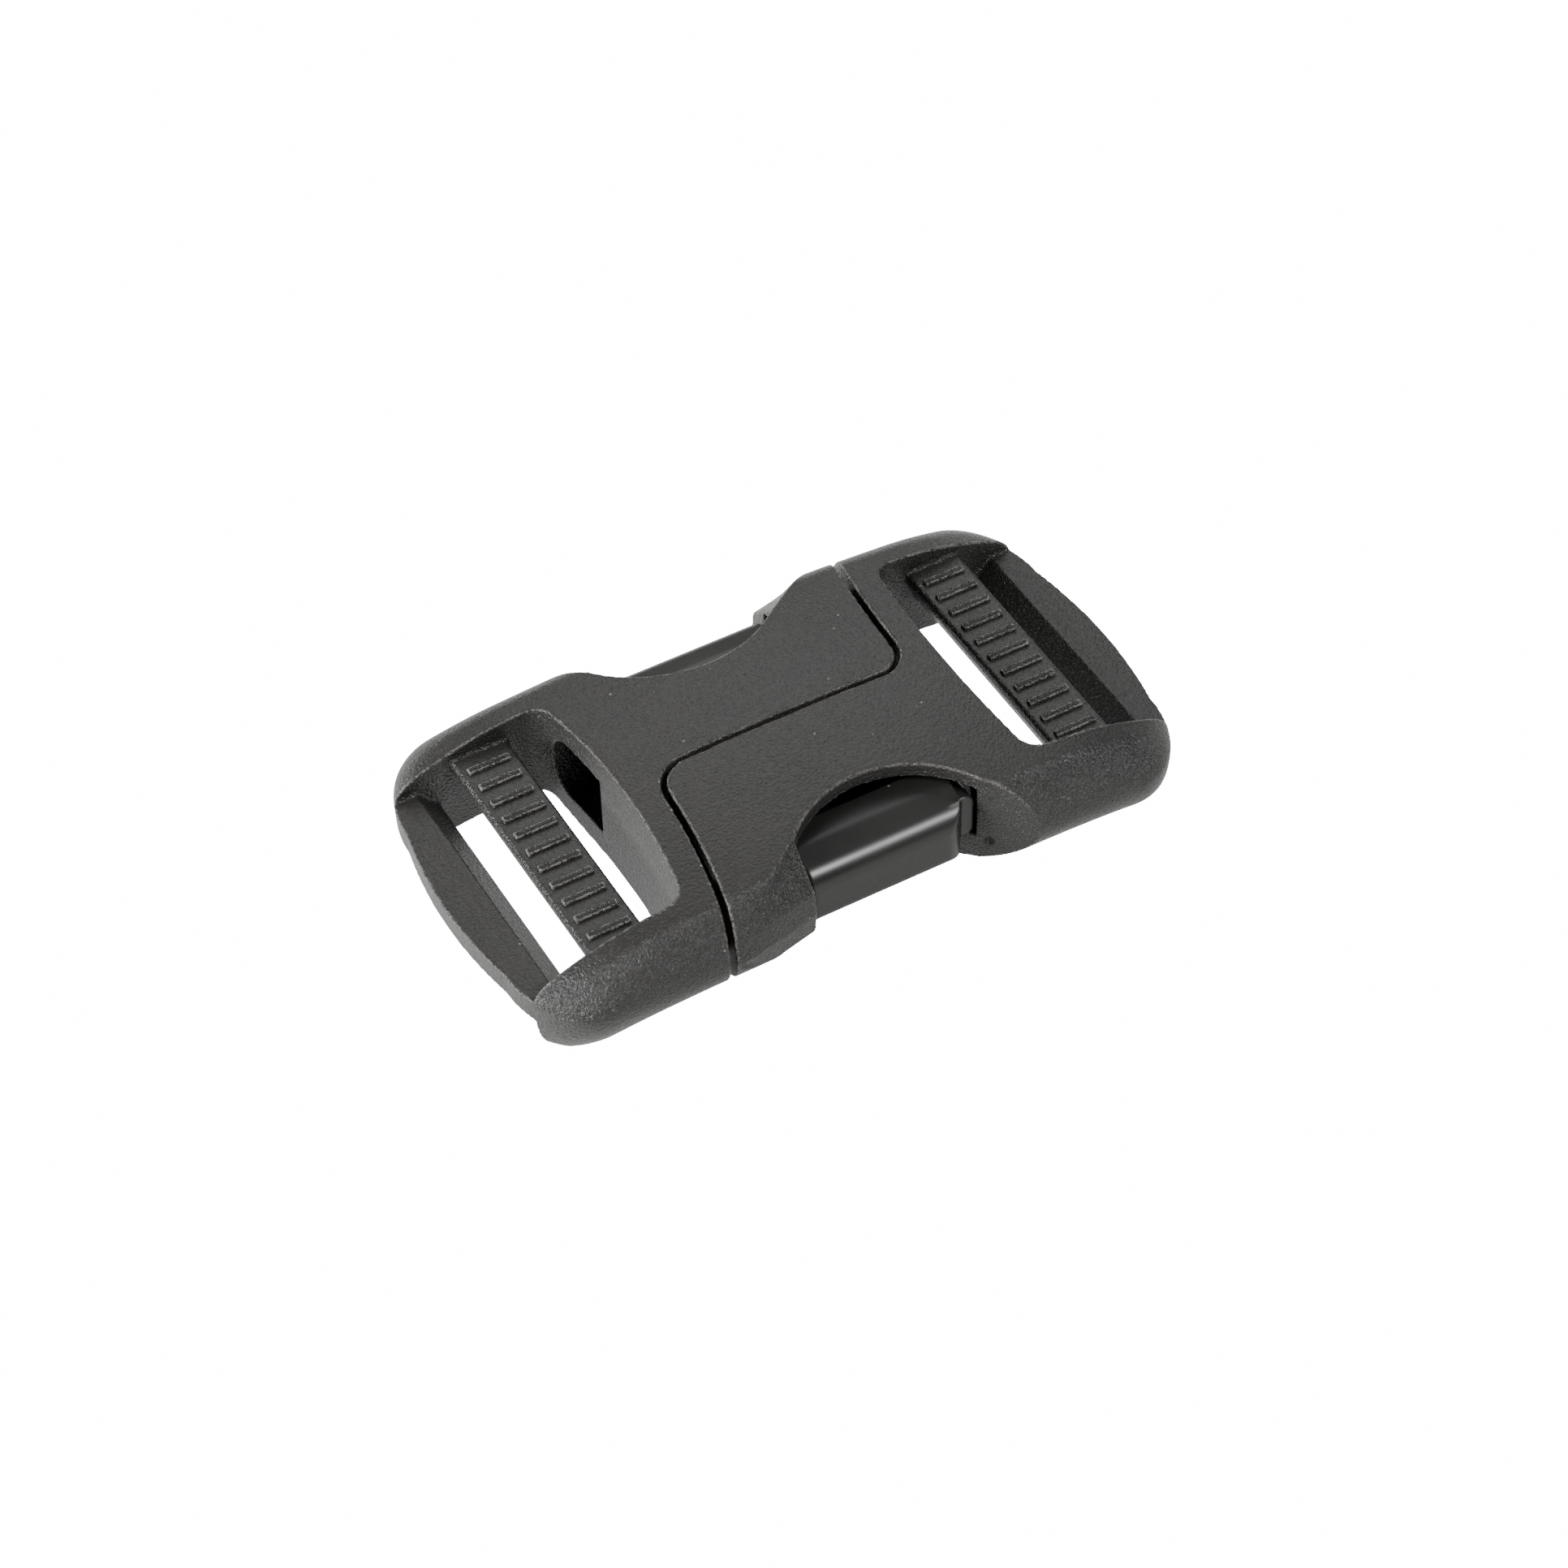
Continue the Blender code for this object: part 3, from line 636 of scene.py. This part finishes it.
def cuffRelief():
    far = halfWidth + outside
    high = topRise + outside
    overlap = cuff["overlap"]
    steps = cuff["sections"]
    spare = cuff["spareSections"]
    sections = []
    for k in range(-spare, steps + spare):
        share = k / steps
        x = cuffEdge() + cuff["length"] * share
        side = halfWidth - cuff["narrowing"] * (1 - share) + overlap
        crease = halfWidth - cuff["crease"] * (1 - share) + overlap
        rise = max(topHeight(x, crease) * sideShare(crease), cuff["flat"] / 2)
        knee = min(cuff["flat"], rise / 2)
        line = [(crease, high), (crease, rise), (side - cuff["kneeSet"], knee), (side, 0.0)]
        line += [(y, -z) for y, z in reversed(line[:-1])]
        sections.append((x, line + [(far, -high), (far, high)]))
    return loft("cuffRelief", sections)


def makeShell(tree):
    shell = pebble("half_a_shell", tree, 0)
    far = topRise + outside
    combine(shell, prism("halfPlan", halfPlan(), -far, far), "INTERSECT")
    cutter = prism("slot", slotPlan(), -far, far)
    reach = halfWidth - strapFrame["barsShort"]
    combine(cutter, prism("outerBar", outerBarProfile(), -reach, reach, "XZY"), "DIFFERENCE")
    combine(cutter, prism("grip", gripProfile(), -reach, reach, "XZY"), "DIFFERENCE")
    combine(shell, cutter, "DIFFERENCE")
    hollow = pebble("hollow", tree, sleeve["wall"])
    combine(hollow, prism("inside", hollowPlan(), -far, far), "INTERSECT")
    combine(hollow, pocketSill(), "DIFFERENCE")
    combine(shell, hollow, "DIFFERENCE")
    combine(shell, prism("window", windowPlan(), -far, far), "DIFFERENCE")
    combine(shell, cuffRelief(), "DIFFERENCE")
    combine(shell, pinMark(), "DIFFERENCE")
    radius = topRise - strapFrame["holeSkin"]
    near = strapFrame["holeNear"]
    end = strapFrame["slotHalf"] - strapFrame["holeMargin"]
    corner = radius * strapFrame["holeRounding"]
    hole = [(near, -radius, 0), (end, -radius, corner), (end, radius, corner), (near, radius, 0)]
    low, high = -slotWall - strapFrame["holePast"], strapFrame["holeInto"] - pocketEnd
    core = prism("core", rounded(hole, 10), low, high, "YZX")
    combine(shell, core, "DIFFERENCE")
    return soften(shell, finish["voxel"], finish["softening"], finish["shellFaces"])


# ribs on the webbing bars, one rounded rib set out along a line
ribs = {
    "count": 11,
    "length": 4.1,
    "width": 0.75,
    "margin": 1.0,
    "rise": 0.35,
    "sunk": 0.3,
    "rounding": 0.16,
    "groove": 0.07,  # hollow along the top of each rib
    "roughness": 0.09,
    "grain": 5200.0,  # per metre
    "grooveSide": 0.36,  # where the hollow ends, share of the width
    "grooveEnd": 0.47,  # share of the length
    "points": (61, 15, 9),
}


def ribTree():
    numbers = ["Length", "Width", "Rise", "Sunk", "Rounding", "Groove", "Roughness", "Pitch",
               "Bar X", "Bar Top"]
    inputs = [(label, "Float") for label in numbers] + [("Count", "Int"), ("Material", "Material")]
    tree, given = newTree("webbingRibs", inputs)

    def do(operation, *values):
        return calc(tree, operation, *values)

    def vector(operation, *values):
        node = addNode(tree, "ShaderNodeVectorMath", operation=operation)
        for socket, value in zip(node.inputs, values):
            feed(tree, socket, value)
        return node.outputs[0]

    def joined(x, y, z):
        node = addNode(tree, "ShaderNodeCombineXYZ")
        for socket, value in zip(node.inputs, (x, y, z)):
            feed(tree, socket, value)
        return node.outputs[0]

    tall = do("ADD", given["Rise"], given["Sunk"])
    size = joined(given["Length"], given["Width"], tall)
    cube = addNode(tree, "GeometryNodeMeshCube")
    tree.links.new(size, cube.inputs["Size"])
    for axis, count in zip("XYZ", ribs["points"]):
        cube.inputs["Vertices " + axis].default_value = count
    here = addNode(tree, "GeometryNodeInputPosition").outputs[0]
    half = vector("SCALE", size)
    half.node.inputs["Scale"].default_value = 0.5
    core = vector("SUBTRACT", half, joined(given["Rounding"], given["Rounding"], given["Rounding"]))
    flipped = vector("SCALE", core)
    flipped.node.inputs["Scale"].default_value = -1.0
    nearest = vector("MAXIMUM", vector("MINIMUM", here, core), flipped)
    outward = vector("NORMALIZE", vector("SUBTRACT", here, nearest))
    pushed = vector("SCALE", outward)
    tree.links.new(given["Rounding"], pushed.node.inputs["Scale"])
    skin = vector("ADD", nearest, pushed)

    # the top is hollowed a little along its middle and left rough
    split = addNode(tree, "ShaderNodeSeparateXYZ")
    tree.links.new(skin, split.inputs[0])

    def hump(offset, size, power):
        share = do("DIVIDE", do("ABSOLUTE", offset), size)
        return do("MAXIMUM", do("SUBTRACT", 1.0, do("POWER", share, power)), 0.0)

    flatness = hump(split.outputs[1], do("MULTIPLY", given["Width"], ribs["grooveSide"]), 2.0)
    ends = hump(split.outputs[0], do("MULTIPLY", given["Length"], ribs["grooveEnd"]), 12.0)
    middle = do("MULTIPLY", flatness, ends)
    upper = do("GREATER_THAN", split.outputs[2], 0.0)
    dip = do("MULTIPLY", do("MULTIPLY", given["Groove"], middle), upper)
    shaped = vector("SUBTRACT", skin, joined(0.0, 0.0, dip))

    setSkin = addNode(tree, "GeometryNodeSetPosition")
    tree.links.new(cube.outputs["Mesh"], setSkin.inputs["Geometry"])
    tree.links.new(shaped, setSkin.inputs["Position"])
    # the hollow's share is stored as ribMiddle, which the rib finish darkens as painted shade
    keep = addNode(tree, "GeometryNodeStoreNamedAttribute", data_type="FLOAT", domain="POINT")
    keep.inputs["Name"].default_value = "ribMiddle"
    tree.links.new(setSkin.outputs["Geometry"], keep.inputs["Geometry"])
    tree.links.new(do("MULTIPLY", middle, upper), keep.inputs["Value"])

    line = addNode(tree, "GeometryNodeMeshLine", mode="OFFSET")
    tree.links.new(given["Count"], line.inputs["Count"])
    run = do("MULTIPLY", given["Pitch"], do("SUBTRACT", given["Count"], 1.0))
    depth = do("ADD", given["Bar Top"], do("SUBTRACT", given["Rise"], do("MULTIPLY", tall, 0.5)))
    tree.links.new(joined(given["Bar X"], do("MULTIPLY", run, -0.5), depth), line.inputs["Start Location"])
    tree.links.new(joined(0.0, given["Pitch"], 0.0), line.inputs["Offset"])
    spread = addNode(tree, "GeometryNodeInstanceOnPoints")
    tree.links.new(line.outputs["Mesh"], spread.inputs["Points"])
    tree.links.new(keep.outputs["Geometry"], spread.inputs["Instance"])
    real = addNode(tree, "GeometryNodeRealizeInstances")
    tree.links.new(spread.outputs["Instances"], real.inputs["Geometry"])

    grain = addNode(tree, "ShaderNodeTexNoise", noise_dimensions="3D")
    grain.inputs["Scale"].default_value = ribs["grain"]
    grain.inputs["Detail"].default_value = 3
    bumps = do("MULTIPLY", do("SUBTRACT", grain.outputs[0], 0.5), given["Roughness"])
    facing = addNode(tree, "GeometryNodeInputNormal").outputs[0]
    lift = vector("SCALE", facing)
    tree.links.new(bumps, lift.node.inputs["Scale"])
    roughen = addNode(tree, "GeometryNodeSetPosition")
    tree.links.new(real.outputs["Geometry"], roughen.inputs["Geometry"])
    tree.links.new(lift, roughen.inputs["Offset"])
    closeTree(tree, roughen.outputs["Geometry"])
    return tree


def makeRibs(tree, material):
    pitch = 2 * (strapFrame["slotHalf"] - ribs["margin"]) / ribs["count"]
    values = {
        "Length": ribs["length"] * mm,
        "Width": ribs["width"] * mm,
        "Rise": ribs["rise"] * mm,
        "Sunk": ribs["sunk"] * mm,
        "Rounding": ribs["rounding"] * mm,
        "Groove": ribs["groove"] * mm,
        "Roughness": ribs["roughness"] * mm,
        "Pitch": pitch * mm,
        "Bar X": gripMiddle * mm,
        "Bar Top": strapFrame["gripTop"] * mm,
        "Count": ribs["count"],
        "Material": material,
    }
    piece = grow("half_a_ribs", tree, values)
    piece.data.shade_smooth()
    markEdges(piece)
    return piece


# half A's release arm
releaseArm = {
    "clearance": 0.3,
    "stub": 1.2,  # how far the arm's root runs into the root wall
    "neck": 2.2,
    "shoulder": 1.6,
    "headThickness": 5.9,
    "headClearance": 0.35,
    "headDrop": 1.05,
    "headRise": 0.6,
    "slope": 3.4,
    "tipCorner": 2.2,
    "shoulderRoot": 0.2,
    "shoulderEdge": 0.4,
    "tipInner": 1.2,
    "stepAhead": 2.0,  # the inner face steps in from here
    "stepBehind": 1.0,
    "stepRounding": 2.0,
    "stepFoot": 2.5,
    "ridge": 2.1,  # radius between the outer face and the slope above it
    "slopeRounding": 3.0,
    "lowEdge": 0.9,
    "lowSlopeRounding": 1.5,
    "noseLength": 1.3,
    "noseStep": 1.5,
    "noseTop": 0.5,
    "noseLow": 1.6,
    "noseClearance": 0.9,
    "noseFootEdge": 0.6,
    "noseTopEdge": 1.1,
}
neckOuter = cuffInner - releaseArm["clearance"]
headOuter = neckOuter + releaseArm["shoulder"]
noseTip = pocketEnd - releaseArm["noseClearance"]
headTip = noseTip - releaseArm["noseLength"]


def headReach():
    # heights of the head above and below the parting plane, which the other half's hollow lets through
    y = headOuter - releaseArm["slope"]
    skin = sleeve["wall"] + releaseArm["headClearance"]
    return topHeight(cuffEdge() + cuff["length"], y) - skin, bellyHeight(cuffEdge(), y) - skin


def armPlan():
    neckInner = neckOuter - releaseArm["neck"]
    head = releaseArm["clearance"] - cuffEdge()
    inner = headOuter - releaseArm["headThickness"]
    root = -(seamX(neckOuter) + sleeve["seamGap"] / 2 + releaseArm["stub"])
    corners = [
        (root, -neckOuter, 0),
        (head, -neckOuter, releaseArm["shoulderRoot"]),
        (head, -headOuter, releaseArm["shoulderEdge"]),
        (headTip, -headOuter, releaseArm["tipCorner"]),
        (headTip, -inner, releaseArm["tipInner"]),
        (head + releaseArm["stepAhead"], -inner, releaseArm["stepRounding"]),
        (head - releaseArm["stepBehind"], -neckInner, releaseArm["stepFoot"]),
        (root, -neckInner, 0),
    ]
    return rounded(corners, 10)


def headProfile():
    inner = headOuter - releaseArm["headThickness"] - outside
    slope = headOuter - releaseArm["slope"]
    top, low = headReach()
    corners = [
        (-headOuter, releaseArm["headRise"] - low, releaseArm["lowEdge"]),
        (-headOuter, top - releaseArm["headDrop"], releaseArm["ridge"]),
        (-slope, top, releaseArm["slopeRounding"]),
        (-inner, top, 0),
        (-inner, -low, 0),
        (-slope, -low, releaseArm["lowSlopeRounding"]),
    ]
    return rounded(corners, 12)


def noseShape():
    # the tab past the head's tip, lower than the head
    outer = headOuter - releaseArm["noseStep"]
    inner = headOuter - releaseArm["headThickness"] + releaseArm["noseStep"] / 2
    low = -releaseArm["noseLow"]
    high = headReach()[0] - releaseArm["noseTop"]
    start = headTip - releaseArm["noseLength"]
    foot, edge = releaseArm["noseFootEdge"], releaseArm["noseTopEdge"]
    side = [(start, low, 0), (noseTip, low, foot), (noseTip, high, edge), (start, high, 0)]
    return prism("nose", rounded(side, 8), -outer, -inner, "XZY")


def makeArm():
    arm = prism("half_a_arm", armPlan(), -topRise, topRise)
    combine(arm, prism("headShape", headProfile(), -halfLength, halfLength, "YZX"), "INTERSECT")
    combine(arm, noseShape(), "UNION")
    return soften(arm, finish["armVoxel"], finish["armSoftening"], finish["armFaces"])


# moulded plastic of the shells, the ribs and the arms
acetalBody = {
    "colour": (0.0162, 0.0159, 0.0147, 1),
    # worn: lighter colour of rubbed edges, partly real wear and partly a painted highlight
    "wornAndHighlight": (0.17, 0.167, 0.157, 1),
    "dust": (0.30, 0.285, 0.24, 1),
    "roughness": 0.32,
    "grain": 3600.0,  # grains per metre
    "flatGrain": 0.4,  # strength on the flat tops
    "sideGrain": 1.0,  # strength on edges and rounded sides
    "grainDepth": 0.00034,
    "wearAndHighlight": 0.55,
    "specks": 0.985,  # cells above this share hold a speck of dust
}
acetalRib = dict(acetalBody, wearAndHighlight=0.6, flatGrain=0.8)
acetalArm = {
    "colour": (0.012, 0.0119, 0.0112, 1),
    "wornAndHighlight": (0.06, 0.06, 0.058, 1),
    # worn: colour of rubbed edges, partly real wear and partly a painted highlight
    "dust": (0.34, 0.33, 0.30, 1),
    "roughness": 0.35,
    "grain": 7000.0,
    "flatGrain": 0.12,
    "sideGrain": 0.15,
    "grainDepth": 0.00003,
    "wearAndHighlight": 0.3,
    "specks": 0.99,
}
moulding = {  # patterns shared by the three finishes
    "patches": 900.0,  # patches of edge wear and painted highlight per metre
    "clouds": 160.0,
    "speckGrid": 1600.0,
    "speckSize": (0.22, 0.10),
    "tint": 0.8,  # darkest share of the colour
    "steep": (0.985, 0.85),  # upright share of the normal, flat to steep
    "edge": (0.6, 2.0),  # edgeTurn that starts and fills an edge
    "crease": (-0.25, -1.1),
    "wornAndHighlightGrain": (0.62, 0.85),
    # painted shade: near-black colour that creases are darkened toward
    "creaseShadeColour": (0.008, 0.008, 0.0075, 1),
    # painted shade in the hollow along each rib's top
    "ribHollowShade": (0.006, 0.006, 0.006, 1),
    "fineScale": 1.9,  # the finer grain against the coarse one
    "fineShare": 0.35,
    "creaseShade": 0.5,
    "hollowShade": 0.9,
    "dustCover": 0.75,
    "dustRoughness": 0.3,
    "roughSpread": 0.1,
    "ior": 1.48,
}


def noiseOf(tree, place, scale, detail):
    noise = addNode(tree, "ShaderNodeTexNoise")
    tree.links.new(place, noise.inputs["Vector"])
    noise.inputs["Scale"].default_value = scale
    noise.inputs["Detail"].default_value = detail
    return noise.outputs["Fac"]


def ramp(tree, value, low, high):
    node = addNode(tree, "ShaderNodeMapRange", clamp=True)
    tree.links.new(value, node.inputs["Value"])
    node.inputs["From Min"].default_value = low
    node.inputs["From Max"].default_value = high
    return node.outputs["Result"]


def blendColour(tree, factor, first, second):
    node = addNode(tree, "ShaderNodeMix", data_type="RGBA")
    colours = [socket for socket in node.inputs if socket.type == "RGBA"]
    feed(tree, node.inputs[0], factor)
    feed(tree, colours[0], first)
    feed(tree, colours[1], second)
    return [socket for socket in node.outputs if socket.type == "RGBA"][0]


def mouldedPlastic(name, look, ribbed=False):
    material = bpy.data.materials.new(name)
    material.use_nodes = True
    tree = material.node_tree
    shader = tree.nodes["Principled BSDF"]
    place = addNode(tree, "ShaderNodeTexCoord").outputs["Object"]

    def do(operation, *values):
        return calc(tree, operation, *values)

    fine = noiseOf(tree, place, look["grain"] * moulding["fineScale"], 2.0)
    coarse = noiseOf(tree, place, look["grain"], 2.0)
    patches = noiseOf(tree, place, moulding["patches"], 3.0)
    cloud = noiseOf(tree, place, moulding["clouds"], 3.0)
    normal = addNode(tree, "ShaderNodeSeparateXYZ")
    tree.links.new(addNode(tree, "ShaderNodeNewGeometry").outputs["Normal"], normal.inputs[0])
    steep = ramp(tree, do("ABSOLUTE", normal.outputs[2]), *moulding["steep"])
    turn = addNode(tree, "ShaderNodeAttribute", attribute_name="edgeTurn").outputs["Fac"]
    edge = ramp(tree, turn, *moulding["edge"])
    crease = ramp(tree, turn, *moulding["crease"])
    # convex edges lightened in grainy patches: partly real wear, partly a painted highlight
    rubbedAndLitPattern = do("ADD", coarse, do("MULTIPLY", patches, 0.5))
    wornAndHighlight = do("MULTIPLY", edge, ramp(tree, rubbedAndLitPattern, *moulding["wornAndHighlightGrain"]))

    specks = addNode(tree, "ShaderNodeTexVoronoi")
    tree.links.new(place, specks.inputs["Vector"])
    specks.inputs["Scale"].default_value = moulding["speckGrid"]
    pick = addNode(tree, "ShaderNodeSeparateColor")
    tree.links.new(specks.outputs["Color"], pick.inputs[0])
    dust = ramp(tree, specks.outputs["Distance"], *moulding["speckSize"])
    dust = do("MULTIPLY", dust, do("GREATER_THAN", pick.outputs[0], look["specks"]))
    dust = do("MULTIPLY", dust, ramp(tree, pick.outputs[1], 0.0, 1.0))

    tint = [value * moulding["tint"] for value in look["colour"][:3]] + [1]
    base = blendColour(tree, ramp(tree, cloud, 0.3, 0.7), tint, look["colour"])
    # painted shade: creases, where edgeTurn is negative, are darkened
    base = blendColour(tree, do("MULTIPLY", crease, moulding["creaseShade"]), base, moulding["creaseShadeColour"])
    # edge lightening: partly real wear, partly a painted highlight
    base = blendColour(tree, do("MULTIPLY", wornAndHighlight, look["wearAndHighlight"]), base, look["wornAndHighlight"])
    if ribbed:
        # painted shade in the hollow along each rib's top, broken up by grain
        middle = addNode(tree, "ShaderNodeAttribute", attribute_name="ribMiddle").outputs["Fac"]
        hollow = do("MULTIPLY", middle, ramp(tree, coarse, 0.62, 0.42))
        base = blendColour(tree, do("MULTIPLY", hollow, moulding["hollowShade"]), base, moulding["ribHollowShade"])
    base = blendColour(tree, do("MULTIPLY", dust, moulding["dustCover"]), base, look["dust"])
    tree.links.new(base, shader.inputs["Base Color"])

    spread = moulding["roughSpread"]
    rough = do("ADD", look["roughness"] - spread / 2, do("MULTIPLY", cloud, spread))
    rough = do("ADD", rough, do("MULTIPLY", dust, moulding["dustRoughness"]))
    tree.links.new(rough, shader.inputs["Roughness"])
    shader.inputs["IOR"].default_value = moulding["ior"]

    share = moulding["fineShare"]
    grain = do("ADD", do("MULTIPLY", fine, share), do("MULTIPLY", coarse, 1 - share))
    rise = look["sideGrain"] - look["flatGrain"]
    strength = do("ADD", look["flatGrain"], do("MULTIPLY", do("MAXIMUM", steep, edge), rise))
    bump = addNode(tree, "ShaderNodeBump")
    tree.links.new(do("MULTIPLY", grain, strength), bump.inputs["Height"])
    bump.inputs["Strength"].default_value = 1.0
    bump.inputs["Distance"].default_value = look["grainDepth"]
    tree.links.new(bump.outputs["Normal"], shader.inputs["Normal"])
    return material


# the pieces of both halves
def turned(source, name):
    # half B's piece: half A's, turned half a turn about Z
    mesh = source.data.copy()
    mesh.transform(Matrix.Rotation(math.pi, 4, "Z"))
    mesh.name = name
    piece = bpy.data.objects.new(name, mesh)
    bpy.context.scene.collection.objects.link(piece)
    return piece


bodyPlastic = mouldedPlastic("mouldedBody", acetalBody)
ribPlastic = mouldedPlastic("mouldedRibs", acetalRib, True)
armPlastic = mouldedPlastic("mouldedArm", acetalArm)

shellA = makeShell(pebbleTree())
shellA.data.materials.clear()
shellA.data.materials.append(bodyPlastic)
print("shell:", len(shellA.data.polygons), "faces")
ribsA = makeRibs(ribTree(), ribPlastic)
print("ribs:", len(ribsA.data.polygons), "faces")
armA = makeArm()
armA.data.materials.clear()
armA.data.materials.append(armPlastic)
print("arm:", len(armA.data.polygons), "faces")

shellB = turned(shellA, "half_b_shell")
ribsB = turned(ribsA, "half_b_ribs")
armB = turned(armA, "half_b_arm")

for shell, rib, arm, half, lever, joint, side in (
    (shellA, ribsA, armA, "half_a", "arm_a", "squeeze_arm_a", 1),
    (shellB, ribsB, armB, "half_b", "arm_b", "squeeze_arm_b", -1),
):
    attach(shell, half)
    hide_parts(half + "_body")
    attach(rib, half)
    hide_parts(half + "_release_arm")
    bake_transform(arm)


# floor, light and camera
studio = {
    "floorSize": 3.0,
    "floorColour": (0.6, 0.6, 0.59, 1),
    "floorRoughness": 0.9,
    "floorShine": 0.95,  # the lit table as the plastic sees it, near the buckle
    "floorReach": 0.4,  # how far that light goes, m
    "floorGlow": 16.0,  # and as the camera sees it
    "skyGlow": 16.0,
    "frontShade": 0.1,  # share of that light left in front of the buckle
    "shadeEdge": (-0.022, -0.006),  # where it fades along Y, m
    "sky": 0.11,
}
softboxes = {  # place and size in m, power in W
    "mainSoftbox": ((0.18, 0.34, 0.38), (0.5, 0.4), 1.3),
    "frontSoftbox": ((0.20, -0.38, 0.49), (0.26, 0.14), 4.8),
    "leftSoftbox": ((-0.55, 0.08, 0.2), (0.3, 0.2), 9.5),
}
cameraView = {
    "turn": -28.65,  # degrees
    "tilt": 46.516,
    "roll": -1.491,
    "distance": 363.97,
    "aside": (0.09, -2.829),  # how far the aim is right of and above the middle
    "aimHeight": 2.02,
    "lens": 96.106,
}


def paleFloor():
    material = bpy.data.materials.new("paleFloor")
    material.use_nodes = True
    tree = material.node_tree
    shader = tree.nodes["Principled BSDF"]
    shader.inputs["Base Color"].default_value = studio["floorColour"]
    shader.inputs["Roughness"].default_value = studio["floorRoughness"]
    shader.inputs["Emission Color"].default_value = (1, 1, 1, 1)
    away = addNode(tree, "ShaderNodeVectorMath", operation="LENGTH")
    tree.links.new(addNode(tree, "ShaderNodeTexCoord").outputs["Object"], away.inputs[0])
    near = ramp(tree, away.outputs["Value"], studio["floorReach"], 0.0)
    shine = calc(tree, "MULTIPLY", calc(tree, "MULTIPLY", near, near), studio["floorShine"])
    side = addNode(tree, "ShaderNodeSeparateXYZ")
    tree.links.new(addNode(tree, "ShaderNodeTexCoord").outputs["Object"], side.inputs[0])
    front = ramp(tree, side.outputs[1], *studio["shadeEdge"])
    front = calc(tree, "ADD", studio["frontShade"], calc(tree, "MULTIPLY", front, 1 - studio["frontShade"]))
    shine = calc(tree, "MULTIPLY", shine, front)
    tree.links.new(shine, shader.inputs["Emission Strength"])
    glow = addNode(tree, "ShaderNodeEmission")
    glow.inputs["Strength"].default_value = studio["floorGlow"]
    mix = addNode(tree, "ShaderNodeMixShader")
    seen = addNode(tree, "ShaderNodeLightPath")
    tree.links.new(seen.outputs["Is Camera Ray"], mix.inputs[0])
    tree.links.new(shader.outputs[0], mix.inputs[1])
    tree.links.new(glow.outputs[0], mix.inputs[2])
    tree.links.new(mix.outputs[0], tree.nodes["Material Output"].inputs["Surface"])
    return material


def makeFloor():
    size = studio["floorSize"] / 2
    solid = bmesh.new()
    square = ((-size, -size), (size, -size), (size, size), (-size, size))
    solid.faces.new([solid.verts.new((x, y, cadLow.z)) for x, y in square])
    mesh = bpy.data.meshes.new("floor")
    solid.to_mesh(mesh)
    solid.free()
    floor = bpy.data.objects.new("floor", mesh)
    bpy.context.scene.collection.objects.link(floor)
    mesh.materials.append(paleFloor())


def makeSky():
    world = bpy.data.worlds.new("studioSky")
    world.use_nodes = True
    bpy.context.scene.world = world
    tree = world.node_tree
    tree.nodes.clear()
    soft = addNode(tree, "ShaderNodeBackground")
    soft.inputs["Strength"].default_value = studio["sky"]
    bright = addNode(tree, "ShaderNodeBackground")
    bright.inputs["Strength"].default_value = studio["skyGlow"]
    mix = addNode(tree, "ShaderNodeMixShader")
    seen = addNode(tree, "ShaderNodeLightPath")
    tree.links.new(seen.outputs["Is Camera Ray"], mix.inputs[0])
    tree.links.new(soft.outputs[0], mix.inputs[1])
    tree.links.new(bright.outputs[0], mix.inputs[2])
    tree.links.new(mix.outputs[0], addNode(tree, "ShaderNodeOutputWorld").inputs["Surface"])


def softbox(name, place, size, power):
    lamp = bpy.data.lights.new(name, "AREA")
    lamp.shape = "RECTANGLE"
    lamp.size, lamp.size_y = size
    lamp.energy = power
    thing = bpy.data.objects.new(name, lamp)
    bpy.context.scene.collection.objects.link(thing)
    thing.location = place
    thing.rotation_euler = Vector(place).to_track_quat("Z", "Y").to_euler()


def makeCamera():
    turn = math.radians(cameraView["turn"])
    tilt = math.radians(cameraView["tilt"])
    roll = math.radians(cameraView["roll"])
    side = Vector((math.cos(turn), math.sin(turn), 0))
    ahead = Vector((-math.sin(turn) * math.cos(tilt), math.cos(turn) * math.cos(tilt), -math.sin(tilt)))
    above = side.cross(ahead)
    right = side * math.cos(roll) + above * math.sin(roll)
    up = above * math.cos(roll) - side * math.sin(roll)
    across, rise = cameraView["aside"]
    middle = right * across + up * rise + Vector((0, 0, cameraView["aimHeight"]))
    place = (middle - ahead * cameraView["distance"]) * mm
    lens = bpy.data.cameras.new("camera")
    lens.sensor_width = 36
    lens.lens = cameraView["lens"]
    lens.clip_start = 0.01
    camera = bpy.data.objects.new("camera", lens)
    bpy.context.scene.collection.objects.link(camera)
    pose = Matrix((right, up, -ahead)).transposed().to_4x4()
    pose.translation = place
    camera.matrix_world = pose
    bpy.context.scene.camera = camera


makeFloor()
makeSky()
for name, (place, size, power) in softboxes.items():
    softbox(name, place, size, power)
makeCamera()
print("floor, lights and camera in place")
